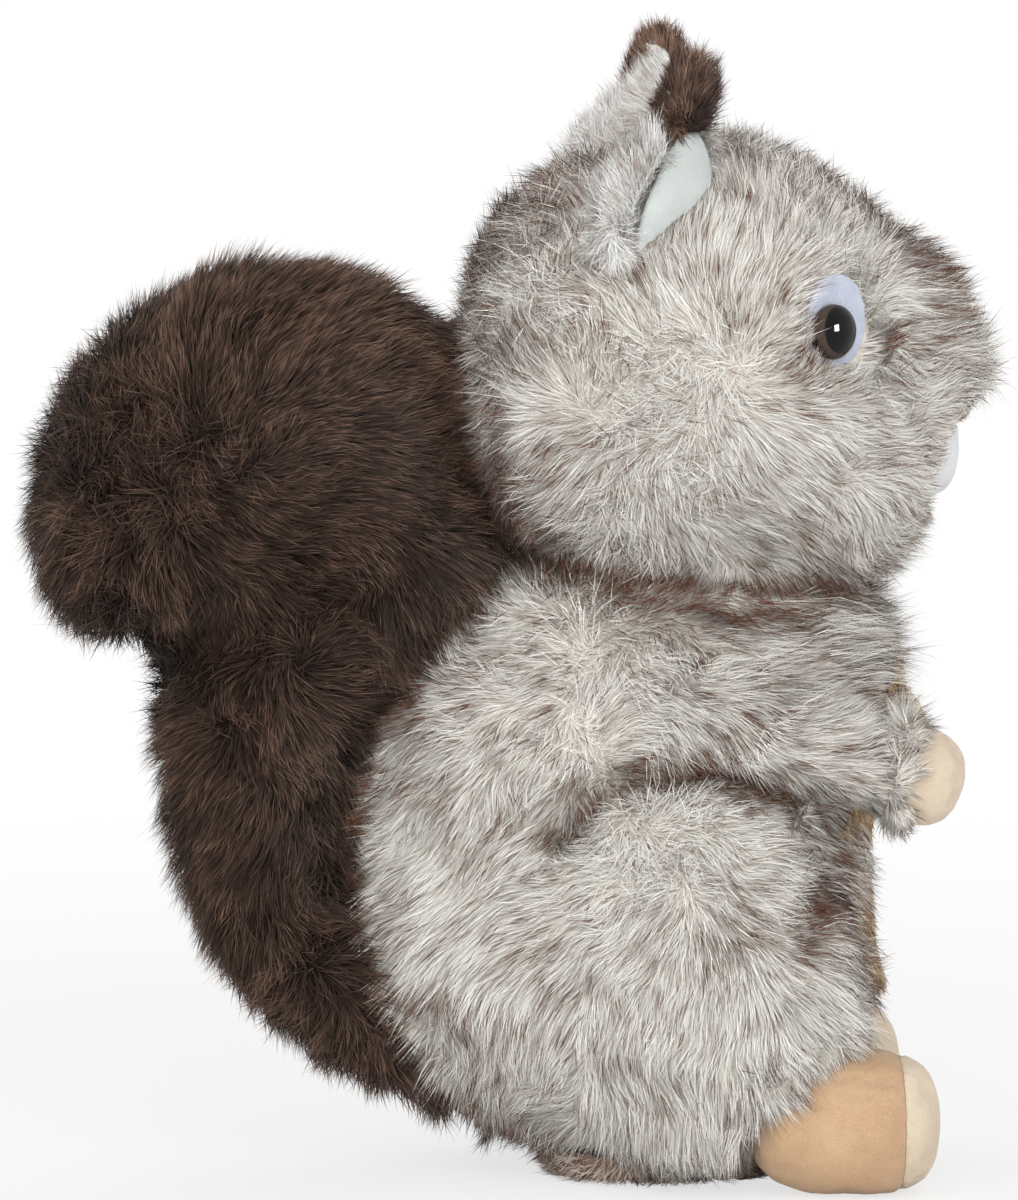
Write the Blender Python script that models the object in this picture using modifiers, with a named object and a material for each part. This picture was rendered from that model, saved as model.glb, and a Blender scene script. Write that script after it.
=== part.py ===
"""Plush squirrel, seated and facing +X, in metres with +Z up.

The origin is on the surface that it sits on, below the middle of its outline.
Its own right side is at -Y. Every sewn skin is one solid with its stuffing.
"""

import math

import bmesh
import bpy
import numpy as np
from mathutils import Matrix, Vector

# Fits
SEAM_GAP = 0.0003
WELD = 0.00002
BELOW = 1.0
RIGHT, LEFT = -1, 1
AHEAD, UP = (1, 0, 0), (0, 0, 1)

# Facets
SMOOTHING = 1
BODY_SIDES = 12
LIMB_SIDES = 10
SMALL_SIDES = 8
NOSE_SIDES = 6
OVAL_SIDES = 24
BORE_SIDES = 20
TURNED_STEPS = 12
DOME_STEPS = 6

# Head: its middle, and its length, width and height
HEAD_MIDDLE = Vector((0.0535, 0.0, 0.2055))
HEAD_LENGTH = 0.1390
HEAD_WIDTH = 0.1180
HEAD_HEIGHT = 0.1180

# Muzzle panel and nose
MUZZLE_LENGTH = 0.0330
MUZZLE_WIDTH = 0.0340
MUZZLE_HEIGHT = 0.0300
MUZZLE_DROP = 0.0205
MUZZLE_SETBACK = 0.0255
NOSE_WIDTH = 0.0090
NOSE_HEIGHT = 0.0060
NOSE_DEPTH = 0.0050
NOSE_SUNK = 0.0028
NOSE_RISE = 0.0090

# Eyes, turned outward from straight ahead by EYE_TURN
EYE_FORWARD = 0.0225
EYE_OUT = 0.0450
EYE_RISE = 0.0160
EYE_BEHIND_MIDDLE = 0.0028
EYE_BELOW_MIDDLE = 0.0022
EYE_TURN = math.radians(52)
EYE_DIAMETER = 0.0140
EYE_DOME = 0.0052
EYE_RIM = 0.0012
DOME_TURN = math.radians(80)
SHANK_DIAMETER = 0.0045
SHANK_LENGTH = 0.0120
PATCH_WIDTH = 0.0205
PATCH_HEIGHT = 0.0245
PATCH_THICKNESS = 0.0016
SKIN_THICKNESS = 0.0020
WASHER_DIAMETER = 0.0150
WASHER_THICKNESS = 0.0014

# Ears, turned outward from straight ahead by EAR_TURN
EAR_BACKSET = 0.0270
EAR_OUT = 0.0340
EAR_ROOT = 0.0240
EAR_LENGTH = 0.0575
EAR_WIDTH = 0.0430
EAR_THICKNESS = 0.0150
EAR_TURN = math.radians(38)
EAR_LEAN = 0.0130
EAR_SPREAD = 0.0015
LINING_LENGTH = 0.0400
LINING_WIDTH = 0.0240
LINING_THICKNESS = 0.0060
LINING_SUNK = 0.0020
TUFT_LENGTH = 0.0250
TUFT_WIDTH = 0.0250
TUFT_THICKNESS = 0.0110
TUFT_SUNK = 0.0030
TUFT_ABOVE_EAR = 0.0030

# Torso: depth is along X
TORSO_HEIGHT = 0.1560
TORSO_DEPTH = 0.1360
TORSO_WIDTH = 0.1080
TORSO_MIDDLE_X = 0.0210
BELLY_WIDTH = 0.0560
BELLY_HEIGHT = 0.0920
BELLY_MIDDLE_Z = 0.0900
BELLY_THICKNESS = 0.0026

# Seat panel
SEAT_LENGTH = 0.0760
SEAT_WIDTH = 0.0700
SEAT_THICKNESS = 0.0120
SEAT_MIDDLE_X = 0.0350
SEAT_UNDER_TORSO = 0.0030
SEAT_FLATTENED = 0.0015

# Arms, from the shoulder to the wrist, each with its paw
SHOULDER = Vector((0.0440, 0.0385, 0.1170))
WRIST = Vector((0.0995, 0.0430, 0.1055))
SHOULDER_THICKNESS = 0.0420
WRIST_THICKNESS = 0.0290
PAW_LENGTH = 0.0260
PAW_THICKNESS = 0.0240
PAW_SHOWN = 0.0105

# Thighs, each with the lower leg in the same skin
THIGH_MIDDLE = Vector((0.0430, 0.0440, 0.0540))
THIGH_DEPTH = 0.0740
THIGH_HEIGHT = 0.1040
THIGH_WIDTH = 0.0420

# Feet
FOOT_MIDDLE = Vector((0.0795, 0.0450, 0.0180))
FOOT_LENGTH = 0.0500
FOOT_WIDTH = 0.0370
FOOT_HEIGHT = 0.0370
SOLE_DEPTH = 0.0110

# Tail: the stem climbs the back, and the bulb folds over its top, away from the head
TAIL_ROOT = Vector((0.0076, 0.0, 0.0138))
TAIL_REACH = 0.0706
TAIL_RISE = 0.1710
TAIL_WIDTH = 0.0640
TAIL_THICKNESS = 0.0570
BULB_LENGTH = 0.1100
BULB_WIDTH = 0.0880
BULB_HEIGHT = 0.0970
BULB_SETBACK = 0.0371

# Shapes of the soft forms. Each row is a section: its place along the form, its shift
# across where it has one, and its two half sizes, all as shares of the form's own sizes

HEAD_SHAPE = [
    (0.00, 0.010, 0.27, 0.29),
    (0.09, 0.010, 0.70, 0.71),
    (0.25, 0.005, 0.92, 0.93),
    (0.45, 0.010, 1.00, 1.00),
    (0.64, -0.010, 0.95, 0.92),
    (0.77, -0.076, 0.80, 0.68),
    (0.84, -0.080, 0.67, 0.52),
    (0.89, -0.035, 0.50, 0.40),
    (0.935, 0.020, 0.32, 0.28),
    (1.00, 0.020, 0.20, 0.18),
]

TORSO_SHAPE = [
    (0.00, 0.100, 0.44, 0.54),
    (0.10, 0.100, 0.76, 0.84),
    (0.29, 0.035, 0.97, 1.00),
    (0.52, -0.005, 0.99, 1.00),
    (0.76, 0.075, 0.98, 0.88),
    (0.88, 0.088, 0.82, 0.76),
    (1.00, 0.100, 0.64, 0.56),
]

THIGH_SHAPE = [
    (0.00, 0.02, 0.58, 0.56),
    (0.22, 0.08, 1.01, 0.94),
    (0.58, 0.04, 1.03, 1.00),
    (0.88, 0.00, 0.84, 0.76),
    (1.00, -0.06, 0.36, 0.40),
]

LEAF_SHAPE = [
    (0.00, 0.70, 0.80),
    (0.30, 1.00, 1.00),
    (0.62, 0.86, 1.00),
    (0.88, 0.58, 0.80),
    (1.00, 0.30, 0.50),
]

BULB_SHAPE = [
    (0.00, -0.19, 0.16, 0.18),
    (0.075, -0.13, 0.60, 0.62),
    (0.19, -0.09, 0.81, 0.84),
    (0.35, -0.04, 0.98, 0.98),
    (0.54, 0.01, 1.00, 1.00),
    (0.745, 0.05, 0.875, 0.90),
    (0.91, 0.05, 0.66, 0.70),
    (1.00, 0.045, 0.33, 0.35),
]

# The line of the tail's stem: shares of its reach and its rise, and of its thickness
STEM_SHAPE = [
    (0.000, 0.000, 0.32),
    (0.270, 0.065, 0.44),
    (0.595, 0.162, 0.69),
    (0.884, 0.304, 0.90),
    (1.000, 0.476, 0.98),
    (0.993, 0.641, 1.05),
    (0.800, 0.790, 1.20),
    (0.620, 0.920, 1.22),
    (0.560, 1.000, 0.85),
]

FOOT_SHAPE = [
    (0.00, 0.60, 0.60),
    (0.32, 0.96, 0.94),
    (0.74, 1.00, 1.00),
    (1.00, 0.64, 0.68),
]

MUZZLE_SHAPE = [
    (-1.00, 0.50),
    (-0.45, 0.95),
    (0.45, 0.95),
    (1.00, 0.50),
]

NOSE_SHAPE = [
    (-1.0, 0.6),
    (-0.3, 1.0),
    (0.4, 0.9),
    (1.0, 0.5),
]

SEAT_SHAPE = [
    (0.0, 0.86),
    (0.3, 0.97),
    (0.7, 1.00),
    (1.0, 0.94),
]

ARM_SHAPE = [
    (-0.25, 0.55),
    (0.00, 0.95),
    (0.50, 1.00),
    (0.90, 1.06),
    (1.06, 0.78),
]

PAW_SHAPE = [
    (0.00, 0.60),
    (0.30, 0.95),
    (0.72, 1.00),
    (1.00, 0.60),
]


# Scene


def empty_scene():
    for item in list(bpy.data.objects):
        bpy.data.objects.remove(item, do_unlink=True)


def collection(name):
    made = bpy.data.collections.new(name)
    bpy.context.scene.collection.children.link(made)
    return made


def material(name, colour, roughness):
    made = bpy.data.materials.new(name)
    made.use_nodes = True
    shader = made.node_tree.nodes["Principled BSDF"]
    shader.inputs["Base Color"].default_value = (*colour, 1.0)
    shader.inputs["Roughness"].default_value = roughness
    made.diffuse_color = (*colour, 1.0)
    return made


# Soft forms


def through(sections):
    """Moves the inner sections of a cage so that its smooth surface passes through them.

    A cubic spline takes a sixth of each neighbour and four sixths of the section itself.
    """
    wanted = np.array(sections, float)
    count = len(wanted)
    blend = np.eye(count)
    for row in range(1, count - 1):
        blend[row, row - 1 : row + 2] = (1 / 6, 4 / 6, 1 / 6)
    return np.linalg.solve(blend, wanted)


def lofted_cage(sections, sides, across, facing):
    """Cage lofted through elliptic sections.

    Each section is its middle (x, y, z), its half height and its half width. The width
    lies along across. The sections face along facing or, without it, along the middles.
    """
    swell = 3 / (2 + math.cos(2 * math.pi / sides))
    cage = through(sections)
    middles = [Vector(row[:3]) for row in cage]
    form = bmesh.new()
    rings = []
    last = len(middles) - 1
    for index, middle in enumerate(middles):
        along = facing or middles[min(index + 1, last)] - middles[max(index - 1, 0)]
        tall = along.normalized().cross(across).normalized()
        wide = tall.cross(along).normalized()
        half_height, half_width = cage[index][3:] * swell
        frame = Matrix.Identity(4)
        frame.col[0][:3] = tall * half_height
        frame.col[1][:3] = wide * half_width
        frame.col[2][:3] = along.normalized()
        frame.col[3][:3] = middle
        made = bmesh.ops.create_circle(
            form, cap_ends=index in (0, last), radius=1.0, segments=sides, matrix=frame
        )
        corners = set(made["verts"])
        rings.append([e for e in form.edges if corners.issuperset(e.verts)])
    for lower, upper in zip(rings, rings[1:]):
        bmesh.ops.bridge_loops(form, edges=lower + upper)
    bmesh.ops.recalc_face_normals(form, faces=form.faces)
    mesh = mesh_from(form, "cage")
    mesh.shade_smooth()
    return mesh


def smooth(item):
    subdivision = item.modifiers.new("smooth", "SUBSURF")
    subdivision.levels = SMOOTHING
    subdivision.render_levels = SMOOTHING


def place(name, mesh, group, finish=None):
    item = bpy.data.objects.new(name, mesh)
    group.objects.link(item)
    if finish:
        mesh.materials.clear()
        mesh.materials.append(finish)
    return item


def soft_form(name, sections, finish, sides=BODY_SIDES, across=(0, 1, 0), facing=None):
    facing = Vector(facing) if facing else None
    item = place(name, lofted_cage(sections, sides, Vector(across), facing), parts, finish)
    smooth(item)
    return item


def swell(item, thickness):
    grow = item.modifiers.new("grow", "DISPLACE")
    grow.strength = thickness
    grow.mid_level = 0.0


def clearance_of(item):
    """Guide with the item's own form, grown by the seam gap."""
    name = item.name + "_clearance"
    if name in cutters.objects:
        return cutters.objects[name]
    guide = place(name, item.data.copy(), cutters)
    smooth(guide)
    swell(guide, SEAM_GAP)
    return as_cutter(guide)


def as_cutter(item):
    item.hide_render = True
    item.display_type = "WIRE"
    return item


def cut(item, cutter, operation="DIFFERENCE"):
    step = item.modifiers.new(operation.lower(), "BOOLEAN")
    step.operation = operation
    step.solver = "EXACT"
    step.object = cutter


def seat_on(item, *neighbours):
    """Cuts the item to the forms that it is sewn to."""
    for neighbour in neighbours:
        cut(item, clearance_of(neighbour))


def mesh_from(form, name):
    mesh = bpy.data.meshes.new(name)
    form.to_mesh(mesh)
    form.free()
    return mesh


def block(name, low, high):
    """Box-shaped cutter between two corners."""
    form = bmesh.new()
    size = Vector(high) - Vector(low)
    middle = (Vector(high) + Vector(low)) / 2
    frame = Matrix.Translation(middle) @ Matrix.Diagonal((*size, 1))
    bmesh.ops.create_cube(form, size=1.0, matrix=frame)
    return as_cutter(place(name, mesh_from(form, name), cutters))


def oval_prism(name, frame, width, height, low, high, group, finish=None, sides=OVAL_SIDES):
    """Oval prism along the frame's own Z, from low to high."""
    form = bmesh.new()
    stretch = Matrix.Diagonal((width / 2, height / 2, high - low, 1))
    lift = Matrix.Translation((0, 0, (high + low) / 2))
    bmesh.ops.create_cone(
        form, cap_ends=True, segments=sides, radius1=1.0, radius2=1.0, depth=1.0,
        matrix=frame @ lift @ stretch,
    )
    item = place(name, mesh_from(form, name), group, finish)
    return item if finish else as_cutter(item)


def turned(name, frame, outline, finish, closed=False):
    """Solid turned about the frame's own Z. The outline runs down its outer side."""
    mesh = bpy.data.meshes.new(name)
    edges = [(i, i + 1) for i in range(len(outline) - 1)]
    if closed:
        edges.append((len(outline) - 1, 0))
    mesh.from_pydata([(r, 0, z) for r, z in outline], edges, [])
    item = place(name, mesh, parts, finish)
    item.matrix_world = frame
    screw = item.modifiers.new("turn", "SCREW")
    screw.steps = TURNED_STEPS
    screw.render_steps = TURNED_STEPS
    screw.use_merge_vertices = True
    screw.merge_threshold = WELD
    screw.use_smooth_shade = True
    return item


def side_name(stem, side):
    return stem + ("_right" if side == RIGHT else "_left")


def on_side(point, side):
    return Vector((point.x, side * point.y, point.z))


# The pieces


def make_head():
    back = HEAD_MIDDLE.x - HEAD_LENGTH / 2
    sections = []
    for along, rise, tall, wide in HEAD_SHAPE:
        middle = (back + along * HEAD_LENGTH, 0.0, HEAD_MIDDLE.z + rise * HEAD_HEIGHT)
        sections.append((*middle, tall * HEAD_HEIGHT / 2, wide * HEAD_WIDTH / 2))
    return soft_form("head", sections, fur_light, facing=AHEAD)


def make_muzzle():
    front = HEAD_MIDDLE.x + HEAD_LENGTH / 2 - MUZZLE_SETBACK
    middle = Vector((front, 0.0, HEAD_MIDDLE.z - MUZZLE_DROP))
    sections = []
    for along, share in MUZZLE_SHAPE:
        at = middle + Vector((along * MUZZLE_LENGTH / 2, 0, 0))
        sections.append((*at, share * MUZZLE_HEIGHT / 2, share * MUZZLE_WIDTH / 2))
    return soft_form("muzzle_panel", sections, velour_white, sides=LIMB_SIDES, facing=AHEAD)


def make_nose():
    tip = HEAD_MIDDLE.x + HEAD_LENGTH / 2 - MUZZLE_SETBACK + MUZZLE_LENGTH / 2
    height = HEAD_MIDDLE.z - MUZZLE_DROP + NOSE_RISE
    sections = []
    for along, share in NOSE_SHAPE:
        at = (tip + along * NOSE_DEPTH / 2 - NOSE_SUNK, 0.0, height)
        sections.append((*at, share * NOSE_HEIGHT / 2, share * NOSE_WIDTH / 2))
    return soft_form("nose", sections, nose_felt, sides=NOSE_SIDES, facing=AHEAD)


def eye_frame(side):
    """The eye's own frame: its Z looks out of the head, and its origin is on the seat."""
    out = Vector((math.cos(EYE_TURN), side * math.sin(EYE_TURN), 0.0))
    up = Vector(UP)
    frame = Matrix.Identity(4)
    frame.col[0][:3] = up.cross(out)
    frame.col[1][:3] = up
    frame.col[2][:3] = out
    frame.col[3][:3] = HEAD_MIDDLE + Vector((EYE_FORWARD, side * EYE_OUT, EYE_RISE))
    return frame


def eye_outline(seat, shank, rim):
    """Half outline of the eye from the top of its dome to the foot of its shank."""
    outline = [(0.0, seat + EYE_DOME)]
    for step in range(1, DOME_STEPS):
        turn = math.pi / 2 - DOME_TURN * step / (DOME_STEPS - 1)
        outline.append((rim * math.cos(turn), seat + EYE_RIM + (EYE_DOME - EYE_RIM) * math.sin(turn)))
    outline.append((rim, seat))
    outline.append((shank, seat))
    outline.append((shank, seat - SHANK_LENGTH))
    outline.append((0.0, seat - SHANK_LENGTH))
    return outline


def make_eye(side):
    """Safety eye on its patch, with the lock washer that holds it inside the head."""
    patch_frame = eye_frame(side)
    offset = Vector((side * EYE_BEHIND_MIDDLE, -EYE_BELOW_MIDDLE, 0.0))
    frame = patch_frame @ Matrix.Translation(offset)
    shank = SHANK_DIAMETER / 2
    flange = SEAM_GAP + PATCH_THICKNESS + SEAM_GAP
    rim = EYE_DIAMETER / 2
    turned(side_name("eye", side), frame, eye_outline(flange, shank, rim), eye_gloss)

    back = -SKIN_THICKNESS - SEAM_GAP
    hole = shank + SEAM_GAP
    edge = WASHER_DIAMETER / 2
    ring = [(hole, back), (edge, back), (edge, back - WASHER_THICKNESS), (hole, back - WASHER_THICKNESS)]
    turned(side_name("eye_washer", side), frame, ring, washer_plastic, closed=True)

    patch = oval_prism(
        side_name("eye_patch", side), patch_frame, PATCH_WIDTH, PATCH_HEIGHT,
        SEAM_GAP, SEAM_GAP + PATCH_THICKNESS, parts, eye_white,
    )
    bore = oval_prism(
        side_name("shank_bore", side), frame, 2 * hole, 2 * hole,
        flange - SHANK_LENGTH - SEAM_GAP, flange + EYE_DOME, cutters, sides=BORE_SIDES,
    )
    cut(patch, bore)

    rim_gap = 2 * SEAM_GAP
    seat = oval_prism(
        side_name("eye_seat", side), patch_frame, PATCH_WIDTH + rim_gap, PATCH_HEIGHT + rim_gap,
        0.0, HEAD_WIDTH / 2, cutters,
    )
    pocket = oval_prism(
        side_name("washer_pocket", side), frame, WASHER_DIAMETER + rim_gap, WASHER_DIAMETER + rim_gap,
        back - WASHER_THICKNESS - SEAM_GAP, -SKIN_THICKNESS, cutters, sides=BORE_SIDES,
    )
    return seat, bore, pocket


def leaf(name, side, root, length, width, thickness, forward, finish):
    """Leaf-shaped form that stands on the head and faces along the ear's own front."""
    facing = Vector((math.cos(EAR_TURN), side * math.sin(EAR_TURN), 0.0))
    sideways = Vector(UP).cross(facing)
    lean = Vector((EAR_LEAN, side * EAR_SPREAD, 0.0))
    sections = []
    for along, wide, thick in LEAF_SHAPE:
        rise = root + along * length
        foot = HEAD_MIDDLE + Vector((-EAR_BACKSET, side * EAR_OUT, rise))
        at = foot + facing * forward + lean * (rise - EAR_ROOT) / EAR_LENGTH
        sections.append((*at, thick * thickness / 2, wide * width / 2))
    return soft_form(name, sections, finish, sides=SMALL_SIDES, across=sideways)


def make_ear(side, head):
    ear = leaf(
        side_name("ear", side), side, EAR_ROOT, EAR_LENGTH,
        EAR_WIDTH, EAR_THICKNESS, 0.0, fur_light,
    )
    face = EAR_THICKNESS / 2
    lining = leaf(
        side_name("ear_lining", side), side, EAR_ROOT, LINING_LENGTH,
        LINING_WIDTH, LINING_THICKNESS, face - LINING_SUNK, velour_white,
    )
    tuft_root = EAR_ROOT + EAR_LENGTH + TUFT_ABOVE_EAR - TUFT_LENGTH
    tuft = leaf(
        side_name("ear_tuft", side), side, tuft_root, TUFT_LENGTH,
        TUFT_WIDTH, TUFT_THICKNESS, face - TUFT_SUNK, fur_dark,
    )
    seat_on(tuft, lining)
    seat_on(ear, tuft, lining, head)
    seat_on(lining, head)


def make_torso():
    foot = SEAT_UNDER_TORSO + SEAM_GAP
    sections = []
    for along, forward, deep, wide in TORSO_SHAPE:
        middle = (TORSO_MIDDLE_X + forward * TORSO_DEPTH, 0.0, foot + along * TORSO_HEIGHT)
        sections.append((*middle, deep * TORSO_DEPTH / 2, wide * TORSO_WIDTH / 2))
    return soft_form("torso", sections, fur_light, facing=UP)


def make_seat(torso):
    """Base panel, flat below and hollowed to the torso above."""
    sections = []
    for along, share in SEAT_SHAPE:
        middle = (SEAT_MIDDLE_X, 0.0, along * SEAT_THICKNESS - SEAT_FLATTENED)
        sections.append((*middle, share * SEAT_LENGTH / 2, share * SEAT_WIDTH / 2))
    seat = soft_form("seat_panel", sections, fur_dark, facing=UP)
    seat_on(seat, torso)
    return seat


def make_belly(torso):
    """Short-pile panel that lies on the front of the torso."""
    form = place("belly_form", torso.data.copy(), cutters)
    smooth(form)
    swell(form, SEAM_GAP + BELLY_THICKNESS)
    as_cutter(form)
    facing = Matrix.Rotation(math.pi / 2, 4, "Y")
    frame = Matrix.Translation((TORSO_MIDDLE_X, 0.0, BELLY_MIDDLE_Z)) @ facing
    panel = oval_prism(
        "belly_panel", frame, BELLY_HEIGHT, BELLY_WIDTH, 0.0, TORSO_DEPTH, parts, plush_gold
    )
    cut(panel, form, "INTERSECT")
    seat_on(panel, torso)
    return panel


def make_thigh(side):
    base = THIGH_MIDDLE.z - THIGH_HEIGHT / 2
    sections = []
    for along, forward, deep, wide in THIGH_SHAPE:
        middle = (
            THIGH_MIDDLE.x + forward * THIGH_DEPTH,
            side * THIGH_MIDDLE.y,
            base + along * THIGH_HEIGHT,
        )
        sections.append((*middle, deep * THIGH_DEPTH / 2, wide * THIGH_WIDTH / 2))
    return soft_form(side_name("thigh", side), sections, fur_light, facing=UP)


def make_foot(side, ground):
    """Foot and sole share one form, parted at the sole's seam."""
    back = FOOT_MIDDLE.x - FOOT_LENGTH / 2
    sections = []
    for along, tall, wide in FOOT_SHAPE:
        middle = (back + along * FOOT_LENGTH, side * FOOT_MIDDLE.y, FOOT_MIDDLE.z)
        sections.append((*middle, tall * FOOT_HEIGHT / 2, wide * FOOT_WIDTH / 2))
    foot = soft_form(side_name("foot", side), sections, velour_tan, facing=AHEAD)
    sole = soft_form(side_name("sole", side), sections, velour_cream, facing=AHEAD)
    seam = back + FOOT_LENGTH - SOLE_DEPTH
    reach = 2 * FOOT_LENGTH
    middle = side * FOOT_MIDDLE.y
    inner, outer = middle - reach, middle + reach
    beyond_foot = block(
        side_name("sole_side", side), (seam, inner, -reach), (seam + reach, outer, reach)
    )
    seam += SEAM_GAP
    beyond_sole = block(
        side_name("foot_side", side), (seam - reach, inner, -reach), (seam, outer, reach)
    )
    cut(foot, beyond_foot)
    cut(sole, beyond_sole)
    cut(foot, ground)
    cut(sole, ground)
    return foot


def make_arm(side):
    """Arm skin, with the paw seated in its end."""
    shoulder = on_side(SHOULDER, side)
    wrist = on_side(WRIST, side)
    reach = wrist - shoulder
    start, end = SHOULDER_THICKNESS / 2, WRIST_THICKNESS / 2
    sections = []
    for along, share in ARM_SHAPE:
        at = shoulder + reach * along
        thick = share * (start + (end - start) * min(max(along, 0.0), 1.0))
        sections.append((*at, thick, thick))
    arm = soft_form(side_name("arm", side), sections, fur_light, sides=LIMB_SIDES)

    tip = wrist + reach.normalized() * PAW_SHOWN
    sections = []
    for along, share in PAW_SHAPE:
        at = tip - reach.normalized() * PAW_LENGTH * (1 - along)
        sections.append((*at, share * PAW_THICKNESS / 2, share * PAW_THICKNESS / 2))
    paw = soft_form(side_name("paw", side), sections, velour_cream, sides=SMALL_SIDES)
    seat_on(arm, paw)
    return arm


def make_tail():
    """Stem and bulb are one sewn skin, joined where the bulb folds over the stem."""
    sections = []
    for back, rise, share in STEM_SHAPE:
        at = TAIL_ROOT + Vector((-back * TAIL_REACH, 0.0, rise * TAIL_RISE))
        sections.append((*at, share * TAIL_THICKNESS / 2, share * TAIL_WIDTH / 2))
    top = Vector(sections[-1][:3])
    tail = soft_form("tail", sections, fur_dark)

    end = top.x - BULB_SETBACK - BULB_LENGTH / 2
    sections = []
    for along, rise, tall, wide in BULB_SHAPE:
        middle = (end + along * BULB_LENGTH, 0.0, top.z + rise * BULB_HEIGHT)
        sections.append((*middle, tall * BULB_HEIGHT / 2, wide * BULB_WIDTH / 2))
    bulb = soft_form("tail_bulb", sections, fur_dark, facing=AHEAD)
    parts.objects.unlink(bulb)
    cutters.objects.link(bulb)
    cut(tail, as_cutter(bulb), "UNION")
    return tail


# Materials


empty_scene()
parts = collection("plush_squirrel")
cutters = collection("cutters")

fur_light = material("fur_light", (0.60, 0.58, 0.54), 0.95)
fur_dark = material("fur_dark", (0.055, 0.035, 0.026), 0.95)
velour_white = material("velour_white", (0.74, 0.78, 0.78), 0.90)
velour_cream = material("velour_cream", (0.80, 0.66, 0.45), 0.90)
velour_tan = material("velour_tan", (0.71, 0.47, 0.26), 0.90)
plush_gold = material("plush_gold", (0.62, 0.38, 0.15), 0.95)
nose_felt = material("nose_felt", (0.10, 0.06, 0.05), 0.85)
eye_white = material("eye_white", (0.62, 0.68, 0.82), 0.80)
eye_gloss = material("eye_gloss", (0.012, 0.012, 0.013), 0.08)
washer_plastic = material("washer_plastic", (0.75, 0.75, 0.74), 0.45)


# Assembly: each piece is cut to the neighbours that it is sewn to


def make_body(ground):
    head = make_head()
    nose = make_nose()
    muzzle = make_muzzle()
    torso = make_torso()
    seat = make_seat(torso)
    belly = make_belly(torso)
    tail = make_tail()
    seat_on(tail, torso, head)
    seat_on(seat, tail)
    seat_on(head, muzzle, nose)
    seat_on(muzzle, nose)
    for side in (RIGHT, LEFT):
        make_side(side, head, torso, seat, belly, ground)
    seat_on(belly, head)
    seat_on(torso, head)
    cut(seat, ground)


def make_side(side, head, torso, seat, belly, ground):
    for hollow in make_eye(side):
        cut(head, hollow)
    make_ear(side, head)
    foot = make_foot(side, ground)
    seat_on(foot, torso)
    thigh = make_thigh(side)
    seat_on(thigh, torso, foot)
    seat_on(seat, thigh, foot)
    arm = make_arm(side)
    seat_on(arm, torso, head, thigh)
    seat_on(belly, thigh, arm, foot)


make_body(block("ground", (-BELOW, -BELOW, -BELOW), (BELOW, BELOW, 0.0)))
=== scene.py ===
"""Looks of a seated plush squirrel: long mottled fur, dark tail, velour paws and feet, glossy eyes."""
import math

import bmesh
import bpy
import numpy as np
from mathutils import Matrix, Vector
from mathutils.bvhtree import BVHTree
from mathutils.kdtree import KDTree

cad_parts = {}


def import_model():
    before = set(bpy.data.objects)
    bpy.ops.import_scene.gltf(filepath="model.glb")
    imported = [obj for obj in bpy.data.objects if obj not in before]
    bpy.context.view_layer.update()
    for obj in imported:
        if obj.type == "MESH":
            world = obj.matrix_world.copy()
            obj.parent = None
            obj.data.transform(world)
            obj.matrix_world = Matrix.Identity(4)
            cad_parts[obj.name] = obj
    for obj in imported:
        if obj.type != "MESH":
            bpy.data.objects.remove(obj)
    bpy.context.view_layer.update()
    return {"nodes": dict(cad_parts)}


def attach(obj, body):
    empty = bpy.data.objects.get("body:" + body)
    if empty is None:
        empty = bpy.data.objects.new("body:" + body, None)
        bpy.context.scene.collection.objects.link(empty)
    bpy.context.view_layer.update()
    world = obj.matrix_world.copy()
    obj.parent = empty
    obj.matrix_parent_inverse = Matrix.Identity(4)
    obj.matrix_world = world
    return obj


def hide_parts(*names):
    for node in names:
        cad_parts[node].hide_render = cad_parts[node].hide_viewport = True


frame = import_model()
NODES = frame["nodes"]

# Camera
CAMERA_TARGET = Vector((-0.0015, 0.0, 0.1464))
CAMERA_AZIMUTH = math.radians(-5)
CAMERA_ELEVATION = math.radians(7)
CAMERA_DISTANCE = 4.0
FRAME_HEIGHT_M = 0.3048
SENSOR = 36.0
PHOTO_PIXEL = 0.000254
PHOTO_ORIGIN_PX = (515, 1172)

# Lengths and limits
MM = 0.001
TINY = 1e-9
FLOOR_GAP = 0.4 * MM
WELD_GAP = 1e-5
RAY_START = 2 * MM
NEAR_REACH = 14 * MM
SIDES = (("right", -1), ("left", 1))

# Fur
OPEN_ROOM = 10 * MM
FREE_FROM = 1.0 * MM
FREE_OVER = 3.0 * MM
# Painted shade: the tip colour changes over this reach where a neighbour crowds the pile
CREASE_SHADE_FROM = 2 * MM
CREASE_SHADE_OVER = 9 * MM
BROWN_FROM = 0.14
BROWN_GAIN = 2.4
STRAND_WIDTH = 0.108 * MM
FINE_WIDTH = 0.10 * MM
SHORT_WIDTH = 1.35
TUFT_SIZE = 2.4 * MM
SWIRL = 0.24
EDDY = 0.17
UNRULY = 0.11
WHORL = 0.30
COMB_PULL = 1.3
MID_FLOOR = 0.0008
TIP_FLOOR = 0.0003


# Numbers

def waves(points, size, seed, count=22):
    """Smooth noise from -1 to 1 or so, with patches of the given size."""
    rng = np.random.default_rng(seed)
    turn = rng.normal(size=(count, 3))
    turn /= np.linalg.norm(turn, axis=1)[:, None]
    turn *= (2 * math.pi / size) * rng.uniform(0.6, 1.3, count)[:, None]
    start = rng.uniform(0, 2 * math.pi, count)
    total = np.zeros(len(points))
    for way, phase in zip(turn, start):
        total += np.cos(points @ way + phase)
    return total / math.sqrt(count / 2)


def wave_vectors(points, size, seed):
    return np.stack([waves(points, size, seed + k) for k in range(3)], axis=1)


def unit(v):
    return v / np.maximum(np.linalg.norm(v, axis=1), TINY)[:, None]


def across(v, n):
    """The part of v that lies along the surface whose normal is n."""
    return v - n * np.sum(v * n, axis=1)[:, None]


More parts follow.
